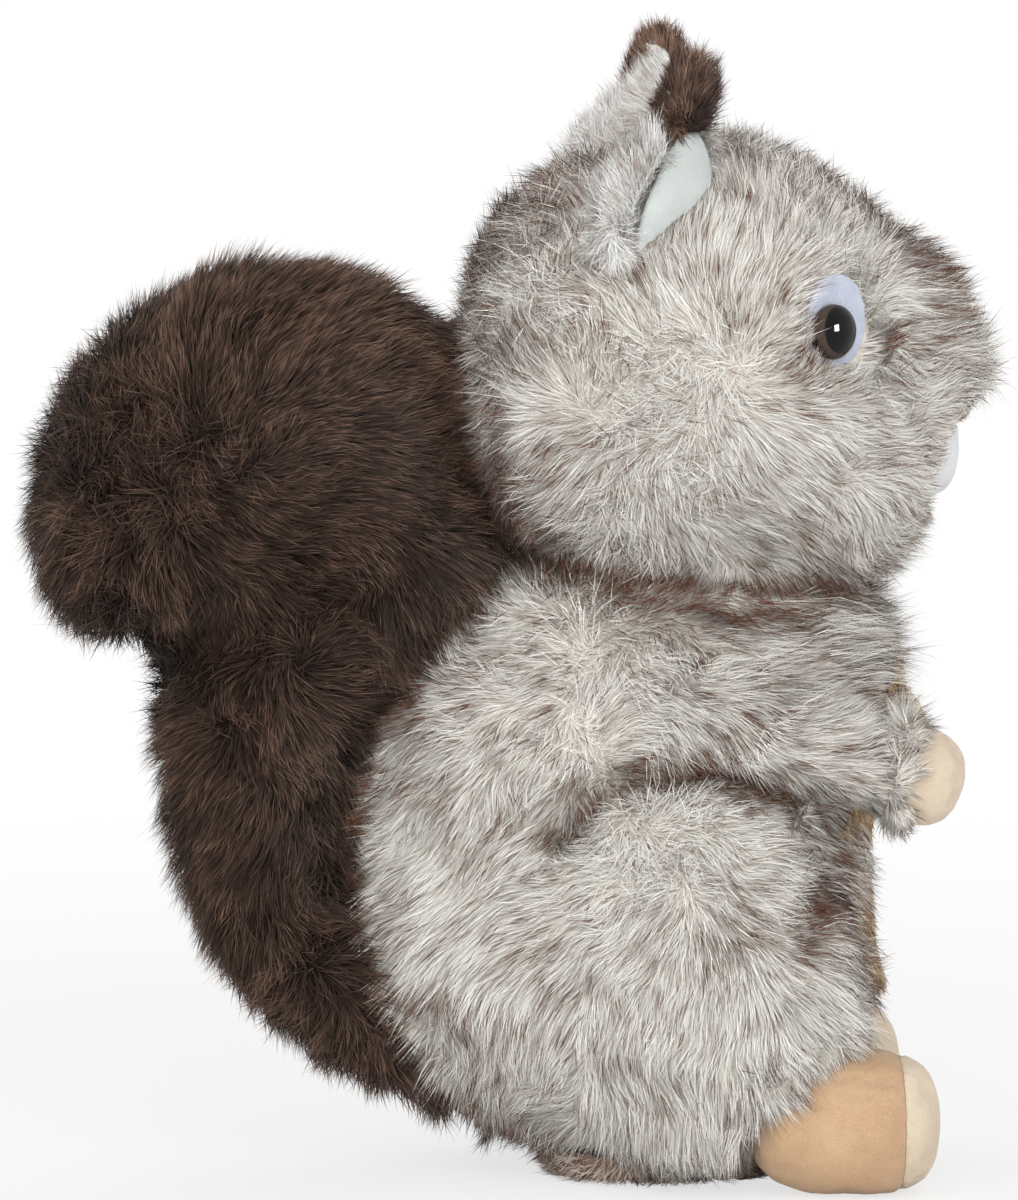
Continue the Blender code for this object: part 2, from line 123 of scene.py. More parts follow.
def near_line(points, a, b, spread, thin=1.0):
    """1 on the line from a to b, falling to 0 over the spread. thin below 1 counts sideways gaps for less."""
    a = np.array(a)
    b = np.array(b)
    scale = np.array((1, thin, 1))
    way = (b - a) * scale
    share = np.clip(((points - a) * scale) @ way / max(float(way @ way), TINY), 0, 1)
    gap = np.linalg.norm((points - a) * scale - share[:, None] * way, axis=1)
    return np.exp(-((gap / spread) ** 2))


def near_both(points, line, spread):
    """Near a line on the left side, or near its mirror image on the right."""
    ends = [[(x, side * y, z) for x, y, z in line] for _, side in SIDES]
    return np.maximum(near_line(points, *ends[0], spread), near_line(points, *ends[1], spread))


def ramp(value, low, high):
    """0 up to low, 1 from high on."""
    return np.clip((value - low) / (high - low), 0, 1)


# Meshes

def show(name, mesh):
    piece = bpy.data.objects.new(name, mesh)
    bpy.context.scene.collection.objects.link(piece)
    return piece


def arrays(mesh):
    mesh.calc_loop_triangles()
    points = np.empty(len(mesh.vertices) * 3)
    mesh.vertices.foreach_get("co", points)
    corners = np.empty(len(mesh.loop_triangles) * 3, dtype=np.int32)
    mesh.loop_triangles.foreach_get("vertices", corners)
    return points.reshape(-1, 3), corners.reshape(-1, 3)


def normals_of(mesh):
    normals = np.empty(len(mesh.vertices) * 3)
    mesh.vertices.foreach_get("normal", normals)
    return normals.reshape(-1, 3)


def set_points(mesh, points):
    mesh.vertices.foreach_set("co", points.ravel())
    mesh.update()


def remeshed(nodes, voxel, smoothing, name):
    """An even, smooth surface round one node or several that are sewn together."""
    form = bmesh.new()
    for node in nodes:
        form.from_mesh(NODES[node].data)
    bmesh.ops.remove_doubles(form, verts=form.verts, dist=WELD_GAP)
    mesh = bpy.data.meshes.new(name)
    form.to_mesh(mesh)
    form.free()
    piece = show(name, mesh)
    grid = piece.modifiers.new("even", "REMESH")
    grid.mode = "VOXEL"
    grid.voxel_size = voxel
    soft = piece.modifiers.new("soft", "SMOOTH")
    soft.factor = 0.5
    soft.iterations = smoothing
    bpy.context.view_layer.update()
    done = bpy.data.meshes.new_from_object(piece.evaluated_get(bpy.context.evaluated_depsgraph_get()))
    piece.modifiers.clear()
    piece.data = done
    done.name = name
    outer_shell(done)
    return piece


def outer_shell(mesh):
    """Keeps the largest connected surface."""
    form = bmesh.new()
    form.from_mesh(mesh)
    left = set(form.verts)
    shells = []
    while left:
        shell = [left.pop()]
        for vert in shell:
            for edge in vert.link_edges:
                other = edge.other_vert(vert)
                if other in left:
                    left.remove(other)
                    shell.append(other)
        shells.append(shell)
    shells.sort(key=len)
    for shell in shells[:-1]:
        bmesh.ops.delete(form, geom=shell, context="VERTS")
    for face in form.faces:
        face.smooth = True
    form.to_mesh(mesh)
    form.free()
    mesh.update()


def eased(piece, weight, rounds):
    """Smooths a surface where the weight asks for it."""
    mesh = piece.data
    points, _ = arrays(mesh)
    ends = np.empty(len(mesh.edges) * 2, dtype=np.int32)
    mesh.edges.foreach_get("vertices", ends)
    a, b = ends.reshape(-1, 2).T
    count = np.bincount(a, minlength=len(points)) + np.bincount(b, minlength=len(points))
    share = weight(points)[:, None]
    for _ in range(rounds):
        total = np.zeros_like(points)
        np.add.at(total, a, points[b])
        np.add.at(total, b, points[a])
        points = points + share * (total / count[:, None] - points) * 0.6
    set_points(mesh, points)


def moved_in(piece, depth):
    """Moves a surface inward along its normals, by one depth or by one for each vertex."""
    points, _ = arrays(piece.data)
    depth = np.broadcast_to(depth, len(points))
    points = points - normals_of(piece.data) * depth[:, None]
    points[:, 2] = np.maximum(points[:, 2], FLOOR_GAP)
    set_points(piece.data, points)


def pile_depth(inset, free):
    """How far a skin lies below the pile: less where a neighbour is close."""
    return inset * np.clip(free / OPEN_ROOM, 0.05, 1)


# Neighbours

TREES = {}
for node_name, node in NODES.items():
    node_points, node_corners = arrays(node.data)
    TREES[node_name] = BVHTree.FromPolygons(node_points.tolist(), node_corners.tolist())


def gap_to(points, node):
    """How far each point is from a node's surface."""
    return np.array([TREES[node].find_nearest(p)[3] for p in points.tolist()])


def clearances(points, normals, own):
    """How far each point can go along its normal before it meets a neighbour, up to NEAR_REACH."""
    free = np.full(len(points), NEAR_REACH)
    for name, tree in TREES.items():
        if name in own:
            continue
        for i, (p, n) in enumerate(zip(points, normals)):
            start = Vector(p)
            way = Vector(n)
            hit, face_normal, _, distance = tree.ray_cast(start - way * RAY_START, way,
                                                          NEAR_REACH + RAY_START)
            if hit is None:
                continue
            if face_normal.dot(way) > 0:
                free[i] = 0.0
            else:
                free[i] = min(free[i], max(distance - RAY_START, 0.0))
    return free


# Strands

def strand_mesh(roots, middles, tips, widths, flat, normals, along, tone, brown):
    """Ribbons of three triangles where middles is given, of one triangle otherwise."""
    count = len(roots)
    edge = flat * widths[:, None]
    if middles is None:
        rows = [roots - edge, roots + edge, tips]
        faces = np.array([[0, 1, 2]])
        levels = [along[0], along[0], along[2]]
    else:
        bend = flat * (widths * 0.95)[:, None]
        rows = [roots - edge, roots + edge, middles - bend, middles + bend, tips]
        faces = np.array([[0, 1, 3], [0, 3, 2], [2, 3, 4]])
        levels = [along[0], along[0], along[1], along[1], along[2]]
    per = len(rows)
    points = np.stack(rows, axis=1).reshape(-1, 3)
    corners = ((np.arange(count) * per)[:, None, None] + faces[None]).reshape(-1, 3)
    data = np.ones((count, per, 4))
    data[:, :, 0] = np.array(levels)[None, :]
    data[:, :, 1] = tone[:, None]
    data[:, :, 2] = brown[:, None]
    shade = np.repeat(normals, per, axis=0)
    return points, corners, data.reshape(-1, 4), shade


def joined(first, second):
    """The points, corners, colours and normals of two sets of strands as one."""
    corners = np.concatenate([first[1], second[1] + len(first[0])])
    points, data, shade = (np.concatenate([first[k], second[k]]) for k in (0, 2, 3))
    return points, corners, data, shade


def mesh_of(name, points, corners, data, shade):
    mesh = bpy.data.meshes.new(name)
    mesh.vertices.add(len(points))
    mesh.vertices.foreach_set("co", points.ravel())
    mesh.loops.add(corners.size)
    mesh.loops.foreach_set("vertex_index", corners.ravel().astype(np.int32))
    mesh.polygons.add(len(corners))
    mesh.polygons.foreach_set("loop_start", np.arange(0, corners.size, 3, dtype=np.int32))
    mesh.polygons.foreach_set("loop_total", np.full(len(corners), 3, dtype=np.int32))
    mesh.update(calc_edges=True)
    strand = mesh.attributes.new("strand", "FLOAT_COLOR", "POINT")
    strand.data.foreach_set("color", data.ravel().astype(np.float32))
    mesh.normals_split_custom_set_from_vertices(shade.tolist())
    return mesh


def scattered(rng, points, corners, grown, total):
    """Random places on a surface, more of them where grown is high.

    Returns the corners of each place's triangle, their weights, and the area that is grown.
    """
    edge_a = points[corners[:, 1]] - points[corners[:, 0]]
    edge_b = points[corners[:, 2]] - points[corners[:, 0]]
    area = np.linalg.norm(np.cross(edge_a, edge_b), axis=1) * grown[corners].mean(axis=1)
    face = rng.choice(len(corners), total, p=area / area.sum())
    a = rng.uniform(size=(total, 2))
    flip = a.sum(axis=1) > 1
    a[flip] = 1 - a[flip]
    weight = np.stack([1 - a.sum(axis=1), a[:, 0], a[:, 1]], axis=1)
    return corners[face], weight, area.sum() * 0.5


def directions(rng, root, normal, pile, lean, scatter, seed):
    """The way that each strand runs from its root, and from its middle on."""
    total = len(root)
    swirl = across(wave_vectors(root, 34 * MM, seed + 40), normal) * SWIRL
    eddy = across(wave_vectors(root, 12 * MM, seed + 44), normal) * EDDY
    unruly = UNRULY + WHORL * np.exp(-(np.linalg.norm(pile, axis=1) / 0.30) ** 2)[:, None]
    rough = across(rng.normal(size=(total, 3)), normal) * unruly
    whirl = across(wave_vectors(root, 9 * MM, seed + 47), normal) * (unruly - UNRULY)
    pile = pile + swirl + eddy + rough + whirl
    strength = np.linalg.norm(pile, axis=1)
    pile = pile * (np.clip(strength, 0.8, 1.0) / np.maximum(strength, 1e-6))[:, None]
    lie = lean + 0.10 * waves(root, 14 * MM, seed + 50) + rng.normal(size=total) * 0.08
    lie = np.clip(lie, 0.2, 0.95)[:, None]
    first = unit(normal * (1.15 - lie * 0.8) + pile * lie)
    last = unit(normal * (1.0 - lie) + pile * (lie + 0.25) + rng.normal(size=(total, 3)) * scatter)
    return first, last


def tufted(rng, root, mid, tip, area, gather):
    """Middles and tips of strands that lean to one tip with those close by."""
    total = len(root)
    heads = rng.choice(total, max(1, int(area / TUFT_SIZE ** 2)), replace=False)
    tree = KDTree(len(heads))
    for k, i in enumerate(heads):
        tree.insert(root[i], k)
    tree.balance()
    owner = np.array([heads[tree.find(p)[1]] for p in root])
    pull = (gather * rng.uniform(0.2, 1.3, total))[:, None]
    away = tip[owner] - tip
    far = np.linalg.norm(away, axis=1)[:, None]
    away = away * np.minimum(1, TUFT_SIZE * 1.5 / np.maximum(far, 1e-6))
    return mid + away * pull * 0.3, tip + away * pull


def grow(name, base, free, comb, brown_at, length, lean, bent, straight, seed, width=STRAND_WIDTH,
         gather=0.35, keep=None, trim=None, scatter=0.11, guard=0.12):
    """Fur on a base surface: so many bent strands, and so many shorter straight ones as its mass.

    comb gives the way the pile lies, and brown_at where its tips are dark. keep and trim are shares for
    each point of the base: where strands grow, and how long they are. guard is the share of bent strands
    whose tips are dark everywhere.
    """
    rng = np.random.default_rng(seed)
    points, corners = arrays(base.data)
    normals = normals_of(base.data)
    grown = np.clip((free - FREE_FROM) / FREE_OVER, 0, 1)
    if keep is not None:
        grown = grown * keep
    if trim is None:
        trim = np.ones(len(points))
    total = bent + straight
    pick, weight, area = scattered(rng, points, corners, grown, total)
    root = np.einsum("nk,nkd->nd", weight, points[pick])
    normal = unit(np.einsum("nk,nkd->nd", weight, normals[pick]))
    room = np.einsum("nk,nk->n", weight, free[pick])
    share = np.einsum("nk,nk->n", weight, trim[pick])
    field = across(comb(points, normals), normals)
    pile = across(np.einsum("nk,nkd->nd", weight, field[pick]), normal)
    first, last = directions(rng, root, normal, pile, lean, scatter, seed)
    size = length * (1 + 0.08 * waves(root, 20 * MM, seed + 60) + rng.normal(size=total) * 0.13)
    size = np.clip(size, length * 0.45, length * 1.4) * share
    size = size * np.clip(0.45 + room / OPEN_ROOM, 0.5, 1.0)
    mid = root + first * (size * 0.5)[:, None]
    tip = mid + last * (size * 0.5)[:, None]
    mid, tip = tufted(rng, root, mid, tip, area, gather)
    mid[:, 2] = np.maximum(mid[:, 2], MID_FLOOR + 0.0010 * rng.uniform(size=total))
    tip[:, 2] = np.maximum(tip[:, 2], TIP_FLOOR + 0.0012 * rng.uniform(size=total))
    tone = np.clip(0.5 + 0.16 * waves(root, 9 * MM, seed + 70) + rng.normal(size=total) * 0.12, 0, 1)
    # Painted shade in creases: 1 where a neighbour crowds the pile, handed to brown_at to change the tip
    # colour there
    crease_shade = np.clip(1 - (room - CREASE_SHADE_FROM) / CREASE_SHADE_OVER, 0, 1)
    streak = 0.22 * waves(root, 3.0 * MM, seed + 80) + rng.normal(size=total) * 0.22
    brown = np.clip((brown_at(root, normal, crease_shade) + streak - BROWN_FROM) * BROWN_GAIN, 0, 1)
    spin = rng.uniform(-1.1, 1.1, total)[:, None]
    side = unit(np.cross(first, normal) + 1e-6)
    rise = unit(np.cross(side, first))
    flat = unit(side * np.cos(spin) + rise * np.sin(spin))
    shade = unit(normal + rise * 0.4 + rng.normal(size=(total, 3)) * 0.10)
    wide = width * rng.uniform(0.75, 1.25, total) * (1 + 0.35 * brown)
    g = slice(0, bent)
    u = slice(bent, total)
    long_brown = np.where(rng.uniform(size=bent) < guard, np.maximum(brown[g], 0.95), brown[g])
    bent_part = strand_mesh(root[g], mid[g], tip[g], wide[g], flat[g], shade[g], (0.0, 0.5, 1.0),
                            tone[g], long_brown)
    short = root[u] + (tip[u] - root[u]) * rng.uniform(0.6, 0.97, total - bent)[:, None]
    straight_part = strand_mesh(root[u], None, short, wide[u] * SHORT_WIDTH, flat[u], shade[u],
                                (0.0, 0.5, 0.95), tone[u], brown[u] * 0.75)
    return show(name, mesh_of(name, *joined(bent_part, straight_part)))


# Materials

def added(tree, kind):
    return tree.nodes.new("ShaderNode" + kind)


def emptied(owner, output):
    """The node tree of a material or world with nothing in it but its output."""
    owner.use_nodes = True
    tree = owner.node_tree
    tree.nodes.clear()
    return tree, added(tree, output)


def new_material(name):
    m = bpy.data.materials.new(name)
    tree, out = emptied(m, "OutputMaterial")
    shader = added(tree, "BsdfPrincipled")
    tree.links.new(shader.outputs["BSDF"], out.inputs["Surface"])
    return m, tree, shader


def set_inputs(node, values):
    for name, value in values.items():
        node.inputs[name].default_value = value


def mixed(tree, factor, a, b):
    """A colour between a and b. Each may be a socket or a colour."""
    node = added(tree, "Mix")
    node.data_type = "RGBA"
    for socket, value in ((node.inputs[0], factor), (node.inputs[6], a), (node.inputs[7], b)):
        if isinstance(value, bpy.types.NodeSocket):
            tree.links.new(value, socket)
        else:
            socket.default_value = (*value, 1)
    return node.outputs[2]


def maths(tree, operation, a, b=0.0, clamp=False):
    node = added(tree, "Math")
    node.operation = operation
    node.use_clamp = clamp
    for socket, value in ((node.inputs[0], a), (node.inputs[1], b)):
        if isinstance(value, bpy.types.NodeSocket):
            tree.links.new(value, socket)
        else:
            socket.default_value = value
    return node.outputs[0]


def smooth_step(tree, value, low, high):
    node = added(tree, "MapRange")
    node.interpolation_type = "SMOOTHSTEP"
    tree.links.new(value, node.inputs["Value"])
    set_inputs(node, {"From Min": low, "From Max": high})
    return node.outputs["Result"]


def noise(tree, scale, detail, roughness):
    place = added(tree, "TexCoord")
    node = added(tree, "TexNoise")
    set_inputs(node, {"Scale": scale, "Detail": detail, "Roughness": roughness})
    tree.links.new(place.outputs["Object"], node.inputs["Vector"])
    return node.outputs["Fac"]


def length_of(tree, vector):
    node = added(tree, "VectorMath")
    node.operation = "LENGTH"
    tree.links.new(vector, node.inputs[0])
    return node.outputs["Value"]


def bumped(tree, shader, height, strength, distance):
    node = added(tree, "Bump")
    set_inputs(node, {"Strength": strength, "Distance": distance})
    tree.links.new(height, node.inputs["Height"])
    tree.links.new(node.outputs["Normal"], shader.inputs["Normal"])


def srgb(r, g, b):
    """A colour as the shader wants it, from the 0 to 255 that a picture shows."""
    def linear(c):
        c = c / 255
        return c / 12.92 if c <= 0.04045 else ((c + 0.055) / 1.055) ** 2.4
    return (linear(r), linear(g), linear(b))


def fur_material(name, root, pale_low, pale_high, tip, tip_start=0.25, tip_end=0.62, all_tips=0.0):
    """Strands that run from a darker root, painted shade deep in the pile, to a pale length and a darker tip.
    Colours are as srgb takes them.

    The strand's own share says how far down it the tip colour reaches. all_tips colours the end of each.
    """
    m, tree, shader = new_material(name)
    strand = added(tree, "Attribute")
    strand.attribute_name = "strand"
    split = added(tree, "SeparateColor")
    tree.links.new(strand.outputs["Color"], split.inputs["Color"])
    along, tone, brown = (split.outputs[k] for k in ("Red", "Green", "Blue"))
    length = mixed(tree, tone, srgb(*pale_low), srgb(*pale_high))
    # The darker root colour is painted shade: the pile's own shadow near the skin
    length_with_root_shade = mixed(tree, smooth_step(tree, along, 0.0, 0.35), srgb(*root), length)
    reach = smooth_step(tree, along, tip_start, tip_end)
    share = maths(tree, "MULTIPLY", reach, brown, clamp=True)
    if all_tips > 0:
        end = maths(tree, "MULTIPLY", smooth_step(tree, along, 0.70, 0.98), all_tips)
        share = maths(tree, "MAXIMUM", share, end)
    tree.links.new(mixed(tree, share, length_with_root_shade, srgb(*tip)), shader.inputs["Base Color"])
    set_inputs(shader, {"Roughness": 0.7, "Specular IOR Level": 0.15, "Sheen Weight": 0.08,
                        "Sheen Roughness": 0.4})
    return m


def undercoat_material(name, low, high):
    """The backing that shows between strands: a matted, mottled pile."""
    m, tree, shader = new_material(name)
    fine = noise(tree, 900, 3, 0.6)
    broad = noise(tree, 90, 3, 0.6)
    share = smooth_step(tree, maths(tree, "MULTIPLY", fine, broad), 0.12, 0.42)
    tree.links.new(mixed(tree, share, srgb(*low), srgb(*high)), shader.inputs["Base Color"])
    set_inputs(shader, {"Roughness": 0.9, "Specular IOR Level": 0.1})
    bumped(tree, shader, fine, 0.6, 0.0008)
    return m


# The first colour of each fur is its root, darker as painted shade deep in the pile
FUR_LIGHT = fur_material("fur_light", (230, 223, 213), (241, 238, 230), (251, 249, 244), (98, 62, 42),
                         tip_start=0.18, tip_end=0.55, all_tips=0.30)
FUR_DARK = fur_material("fur_dark", (28, 20, 17), (46, 35, 29), (76, 59, 50), (152, 120, 101),
                        tip_start=0.55, tip_end=1.0)
FUR_EAR = fur_material("fur_ear", (244, 243, 239), (250, 249, 246), (255, 255, 253), (176, 160, 148),
                       all_tips=0.1)
FUR_TUFT = fur_material("fur_tuft", (70, 50, 42), (130, 99, 84), (182, 150, 131), (62, 44, 37))
FUR_GOLD = fur_material("fur_gold", (170, 132, 90), (220, 182, 132), (240, 212, 168), (150, 112, 78))
FUR_SEAM = fur_material("fur_seam", (146, 122, 107), (196, 176, 162), (232, 219, 207), (116, 88, 72))
UNDER_LIGHT = undercoat_material("undercoat_light", (206, 197, 186), (232, 227, 218))
UNDER_DARK = undercoat_material("undercoat_dark", (24, 17, 14), (46, 35, 30))
UNDER_SEAM = undercoat_material("undercoat_seam", (116, 94, 80), (164, 140, 124))
UNDER_EAR = undercoat_material("undercoat_ear", (226, 224, 219), (242, 242, 239))
UNDER_GOLD = undercoat_material("undercoat_gold", (150, 114, 76), (204, 166, 118))


# The way that the pile lies

def radial(line, lift=(0, 0, 0), core=0.03, thin=0.25, run=0.0):
    """Pile that leans away from a line of points as the side view shows it, and along the line by run."""
    line = np.array(line, dtype=float)
    lift = np.array(lift, dtype=float)

    def comb(points, normals):
        best = None
        for a, b in zip(line[:-1], line[1:]) if len(line) > 1 else [(line[0], line[0])]:
            way = b - a
            share = np.clip((points - a) @ way / max(float(way @ way), TINY), 0, 1)
            gap = points - a - share[:, None] * way
            gap[:, 1] *= thin
            size = np.linalg.norm(gap, axis=1)
            ahead = np.tile(way / max(float(np.linalg.norm(way)), TINY), (len(points), 1))
            if best is None:
                best, least, along = gap, size, ahead
            else:
                closer = size < least
                best[closer] = gap[closer]
                along[closer] = ahead[closer]
                least = np.minimum(least, size)
        return best / (least[:, None] + core) * COMB_PULL + along * run + lift
    return comb


def one_way(*way):
    """Pile that leans the same way everywhere."""
    return lambda points, normals: np.tile(way, (len(points), 1))


def patches(level, swing, seed, crease_shade_share=0.7, extra=None):
    """Tip colour: patches, plus painted shade in the creases: more tip colour there, or less if
    crease_shade_share is below 0. Less makes brown-tipped fur paler there, and darkens fur whose tips are
    paler than its length.
    """
    def brown(points, normals, crease_shade):
        value = level + swing * waves(points, 14 * MM, seed) + swing * 0.7 * waves(points, 36 * MM, seed + 1)
        value = value + crease_shade_share * crease_shade
        if extra is not None:
            value = value + extra(points, normals)
        return value
    return brown


MIDDLE_FADE = (0.008, 0.018)


def in_photo(px, py, y):
    """World point at depth y that the photo shows at a pixel of its 1018 x 1200 frame."""
    across_m = (px - PHOTO_ORIGIN_PX[0]) * PHOTO_PIXEL
    up_m = (PHOTO_ORIGIN_PX[1] - py) * PHOTO_PIXEL
    x = (across_m - y * math.sin(CAMERA_AZIMUTH)) / math.cos(CAMERA_AZIMUTH)
    depth = y * math.cos(CAMERA_AZIMUTH) - x * math.sin(CAMERA_AZIMUTH)
    z = (up_m - depth * math.sin(CAMERA_ELEVATION)) / math.cos(CAMERA_ELEVATION)
    return (x, y, z)


def near_path(points, pixels, y, spread, thin=0.3):
    """Near a line drawn on the photo, on both sides of the toy but not in its middle."""
    value = np.zeros(len(points))
    folded = np.where(points[:, 1:2] > 0, points * (1, -1, 1), points)
    for a, b in zip(pixels[:-1], pixels[1:]):
        value = np.maximum(value, near_line(folded, in_photo(*a, y), in_photo(*b, y), spread, thin))
    return value * ramp(-folded[:, 1], *MIDDLE_FADE)


def dress(piece, nodes, material):
    """A piece's material, and what it stands for in the frame."""
    piece.data.materials.clear()
    piece.data.materials.append(material)
    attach(piece, "root")
    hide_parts(*nodes)


def light_fur(name, node, *form, **more):
    """Light fur that stands for a node, on a skin that is dressed by itself."""
    dress(grow(name, *form, **more), [node], FUR_LIGHT)


SKIN_INSET = 6.0 * MM
SKIN_VOXEL = 3.0 * MM


def furred(node, comb, brown, fur, under, length, lean, bent, straight, seed, inset=SKIN_INSET,
           voxel=SKIN_VOXEL, smoothing=4, own=(), fill=0.8, slot="fur_light", keep=None, trim=None, sink=None,
           reshape=None, **more):
    """A node's skin and the fur that grows on it. own names the nodes that don't count as neighbours."""
    base = remeshed([node], voxel, smoothing, node + "_skin")
    points, _ = arrays(base.data)
    if reshape:
        reshape(points)
        set_points(base.data, points)
    free = clearances(points, normals_of(base.data), {node, *own})
    depth = pile_depth(inset, free)
    if sink:
        depth = depth * sink(points)
    moved_in(base, depth)
    pile = grow(node + "_fur", base, free, comb, brown, length, lean, bent, straight, seed,
                keep=keep(points) if keep else None, trim=trim(points) if trim else None, **more)
    dress(base, [node], under)
    dress(pile, [node], fur)


# Nape, where head, body and tail meet and their skins come up to one another

NAPE = (-0.0080, 0, 0.1590)
NAPE_RISE = 0.85


def nape(points):
    return near_line(points, NAPE, NAPE, 0.020, thin=0.1)


# Head

EYES = ("eye_patch_left", "eye_patch_right")
EARS = ("ear_left", "ear_right")
EYE_BACK_X = 0.0715
HEAD_MIDDLE = (0.037, 0, 0.2055)
HEAD_RIDGE = 0.022
SNOUT = (0.1130, 0, 0.2000)
FOREHEAD_PX = [(880, 232), (915, 256)]
SNOUT_TOP_PX = [(950, 275), (985, 305)]
EAR_RIM_PX = [(716, 185), (704, 250)]
BROW_ROOTS_PX = [(864, 350), (880, 345)]
BAND_ROOTS_PX = [(868, 372), (915, 360)]
CHEEK_BAND_PX = [(875, 368), (955, 345)]
CHEEK_PATCH_PX = [(770, 372), (815, 372)]
NECK_PX = [(487, 480), (493, 501), (514, 526), (533, 552), (595, 582), (635, 593), (699, 600), (830, 598),
           (893, 592), (920, 570)]


def head_tips(points, normals):
    # Brown tips along the neck crease under the head: partly the fur's own brown tips, partly painted shade
    # where the head overhangs
    value = 2.1 * near_path(points, NECK_PX, -0.030, 8.0 * MM, thin=0.15)
    value -= 0.45 * near_path(points, EAR_RIM_PX, -0.048, 8.0 * MM)
    ridge = np.exp(-(points[:, 1] / HEAD_RIDGE) ** 2)
    value += (0.24 + 0.20 * ramp(points[:, 0], 0.055, 0.080)) * ridge * ramp(normals[:, 2], 0.1, 0.6)
    value += 0.26 * ridge * ramp(-normals[:, 0], 0.1, 0.6)
    value += 0.14 * ramp(-normals[:, 0], 0.0, 0.6)
    value += 0.25 * near_path(points, CHEEK_BAND_PX, -0.030, 0.0045)
    value += 0.45 * near_path(points, CHEEK_PATCH_PX, -0.050, 0.006)
    return value


def pair_gap(points, pair):
    """How far each point is from the nearer of two nodes."""
    return np.minimum(gap_to(points, pair[0]), gap_to(points, pair[1]))


def head_trim(points):
    """Shorter pile beside the muzzle and the ears, and round the eyes, though less so behind them."""
    muzzle = ramp(gap_to(points, "muzzle_panel"), -2 * MM, 14 * MM)
    cheek = np.maximum(muzzle, ramp(points[:, 2], 0.190, 0.200))
    ear = np.clip(0.30 + pair_gap(points, EARS) / (13 * MM), 0.30, 1)
    brow = ramp(points[:, 0], 0.055, 0.075) * ramp(points[:, 2], 0.205, 0.222)
    behind = ramp(EYE_BACK_X - points[:, 0], -2 * MM, 2 * MM)
    least = 0.42 + 0.40 * behind
    return cheek * ear * np.clip(least + pair_gap(points, EYES) / (14 * MM), 0, 1) * (1 - 0.08 * brow)


def head_keep(points):
    muzzle = ramp(gap_to(points, "muzzle_panel"), 1 * MM, 2.5 * MM)
    return muzzle * ramp(pair_gap(points, EYES), 0.6 * MM, 1.6 * MM)


def head_sink(points):
    """The skin comes up at the eye patches, muzzle, nape, forehead and snout, and lies deep on the bridge."""
    near = np.minimum(pair_gap(points, EYES), gap_to(points, "muzzle_panel"))
    snout = near_line(points, SNOUT, SNOUT, 0.010)
    forehead = near_line(points, in_photo(*FOREHEAD_PX[0], 0), in_photo(*FOREHEAD_PX[1], 0), 0.016)
    bridge = near_line(points, in_photo(*SNOUT_TOP_PX[0], 0), in_photo(*SNOUT_TOP_PX[1], 0), 0.011)
    level = (1 - 0.20 * snout) * (1 - 0.75 * forehead) * (1 + 0.40 * bridge)
    return np.clip(0.12 + near / (11 * MM), 0.12, 1) * level * (1 - NAPE_RISE * nape(points))


furred("head", radial([HEAD_MIDDLE], (0, 0, 0.05), core=0.024), patches(0.07, 0.11, 5, extra=head_tips),
       FUR_LIGHT, UNDER_LIGHT, length=11.5 * MM, lean=0.66, bent=30000, straight=84000, seed=11,
       keep=head_keep, trim=head_trim, sink=head_sink,
       own={"nose", "eye_washer_left", "eye_washer_right", *EYES, "eye_left", "eye_right"})

# Dark streaks in front of the eyes
base = bpy.data.objects["head_skin"]
points, _ = arrays(base.data)
streak = near_path(points, BROW_ROOTS_PX, -0.040, 1.1 * MM, thin=0.05)
streak += 0.12 * near_path(points, BAND_ROOTS_PX, -0.038, 2.6 * MM, thin=0.05)
light_fur("brow_fur", "head", base, np.full(len(points), 9 * MM), one_way(0.95, 0.0, 0.28),
          patches(1.2, 0.0, 16), length=13.0 * MM, lean=0.76, bent=260, straight=60, seed=37, keep=streak,
          scatter=0.04, gather=0.6)


# Body: torso, thighs and arms are sewn into one another, so their skins are one surface

BODY = ["torso", "thigh_left", "thigh_right", "arm_left", "arm_right"]
FEET = {"foot_left", "foot_right", "sole_left", "sole_right", "seat_panel"}
GROOVE_DEPTH = 9.0 * MM
BODY_RIDGE = 0.020
SHORT_BELOW = 0.016
PILE_LENGTH = 11.5 * MM
PILE_LEAN = 0.66
CHEST_ROOM = 6 * MM
SHOULDER_LINE = ((0.024, 0.054, 0.115), (0.052, 0.054, 0.136))
THIGH_BACK_LINE = ((0.004, 0.048, 0.06), (0.012, 0.045, 0.02))
THIGH_BASE_LINE = ((0.012, 0.045, 0.02), (0.06, 0.045, 0.012))
FOREARM_LINE = ((0.080, 0.043, 0.100), (0.105, 0.043, 0.104))
CHEST_LINE = ((0.082, -0.016, 0.142), (0.082, 0.016, 0.142))
TORSO_LINE = [(0.017, 0, 0.128), (0.030, 0, 0.095)]
THIGH_MIDDLE = (0.041, 0, 0.078)
ARM_MIDDLE = (0.020, 0, 0.132)
THIGH_ARCH_PX = [(577, 836), (586, 811), (600, 787), (669, 778), (701, 774), (760, 794), (813, 823),
                 (829, 839), (860, 842)]
KNEE_PX = [(829, 839), (821, 871), (813, 898), (793, 924)]
BASE_EDGE_PX = [(370, 1020), (437, 1092), (500, 1128), (595, 1166), (720, 1172), (790, 1166)]
FRONT_EDGE_PX = [(850, 858), (868, 890), (884, 940), (886, 1000)]


def body_ease(points):
    """Where the skins run into one another: the shoulders, and the back and base of the thighs."""
    value = np.maximum(near_both(points, SHOULDER_LINE, 0.022), near_both(points, THIGH_BACK_LINE, 0.018))
    value = np.maximum(value, near_both(points, THIGH_BASE_LINE, 0.012))
    return np.clip(value * 1.3, 0, 1)


def body_grooves(points):
    arch = near_path(points, THIGH_ARCH_PX, -0.055, 5.0 * MM)
    return np.maximum(arch, 0.6 * near_path(points, KNEE_PX, -0.053, 4.0 * MM))


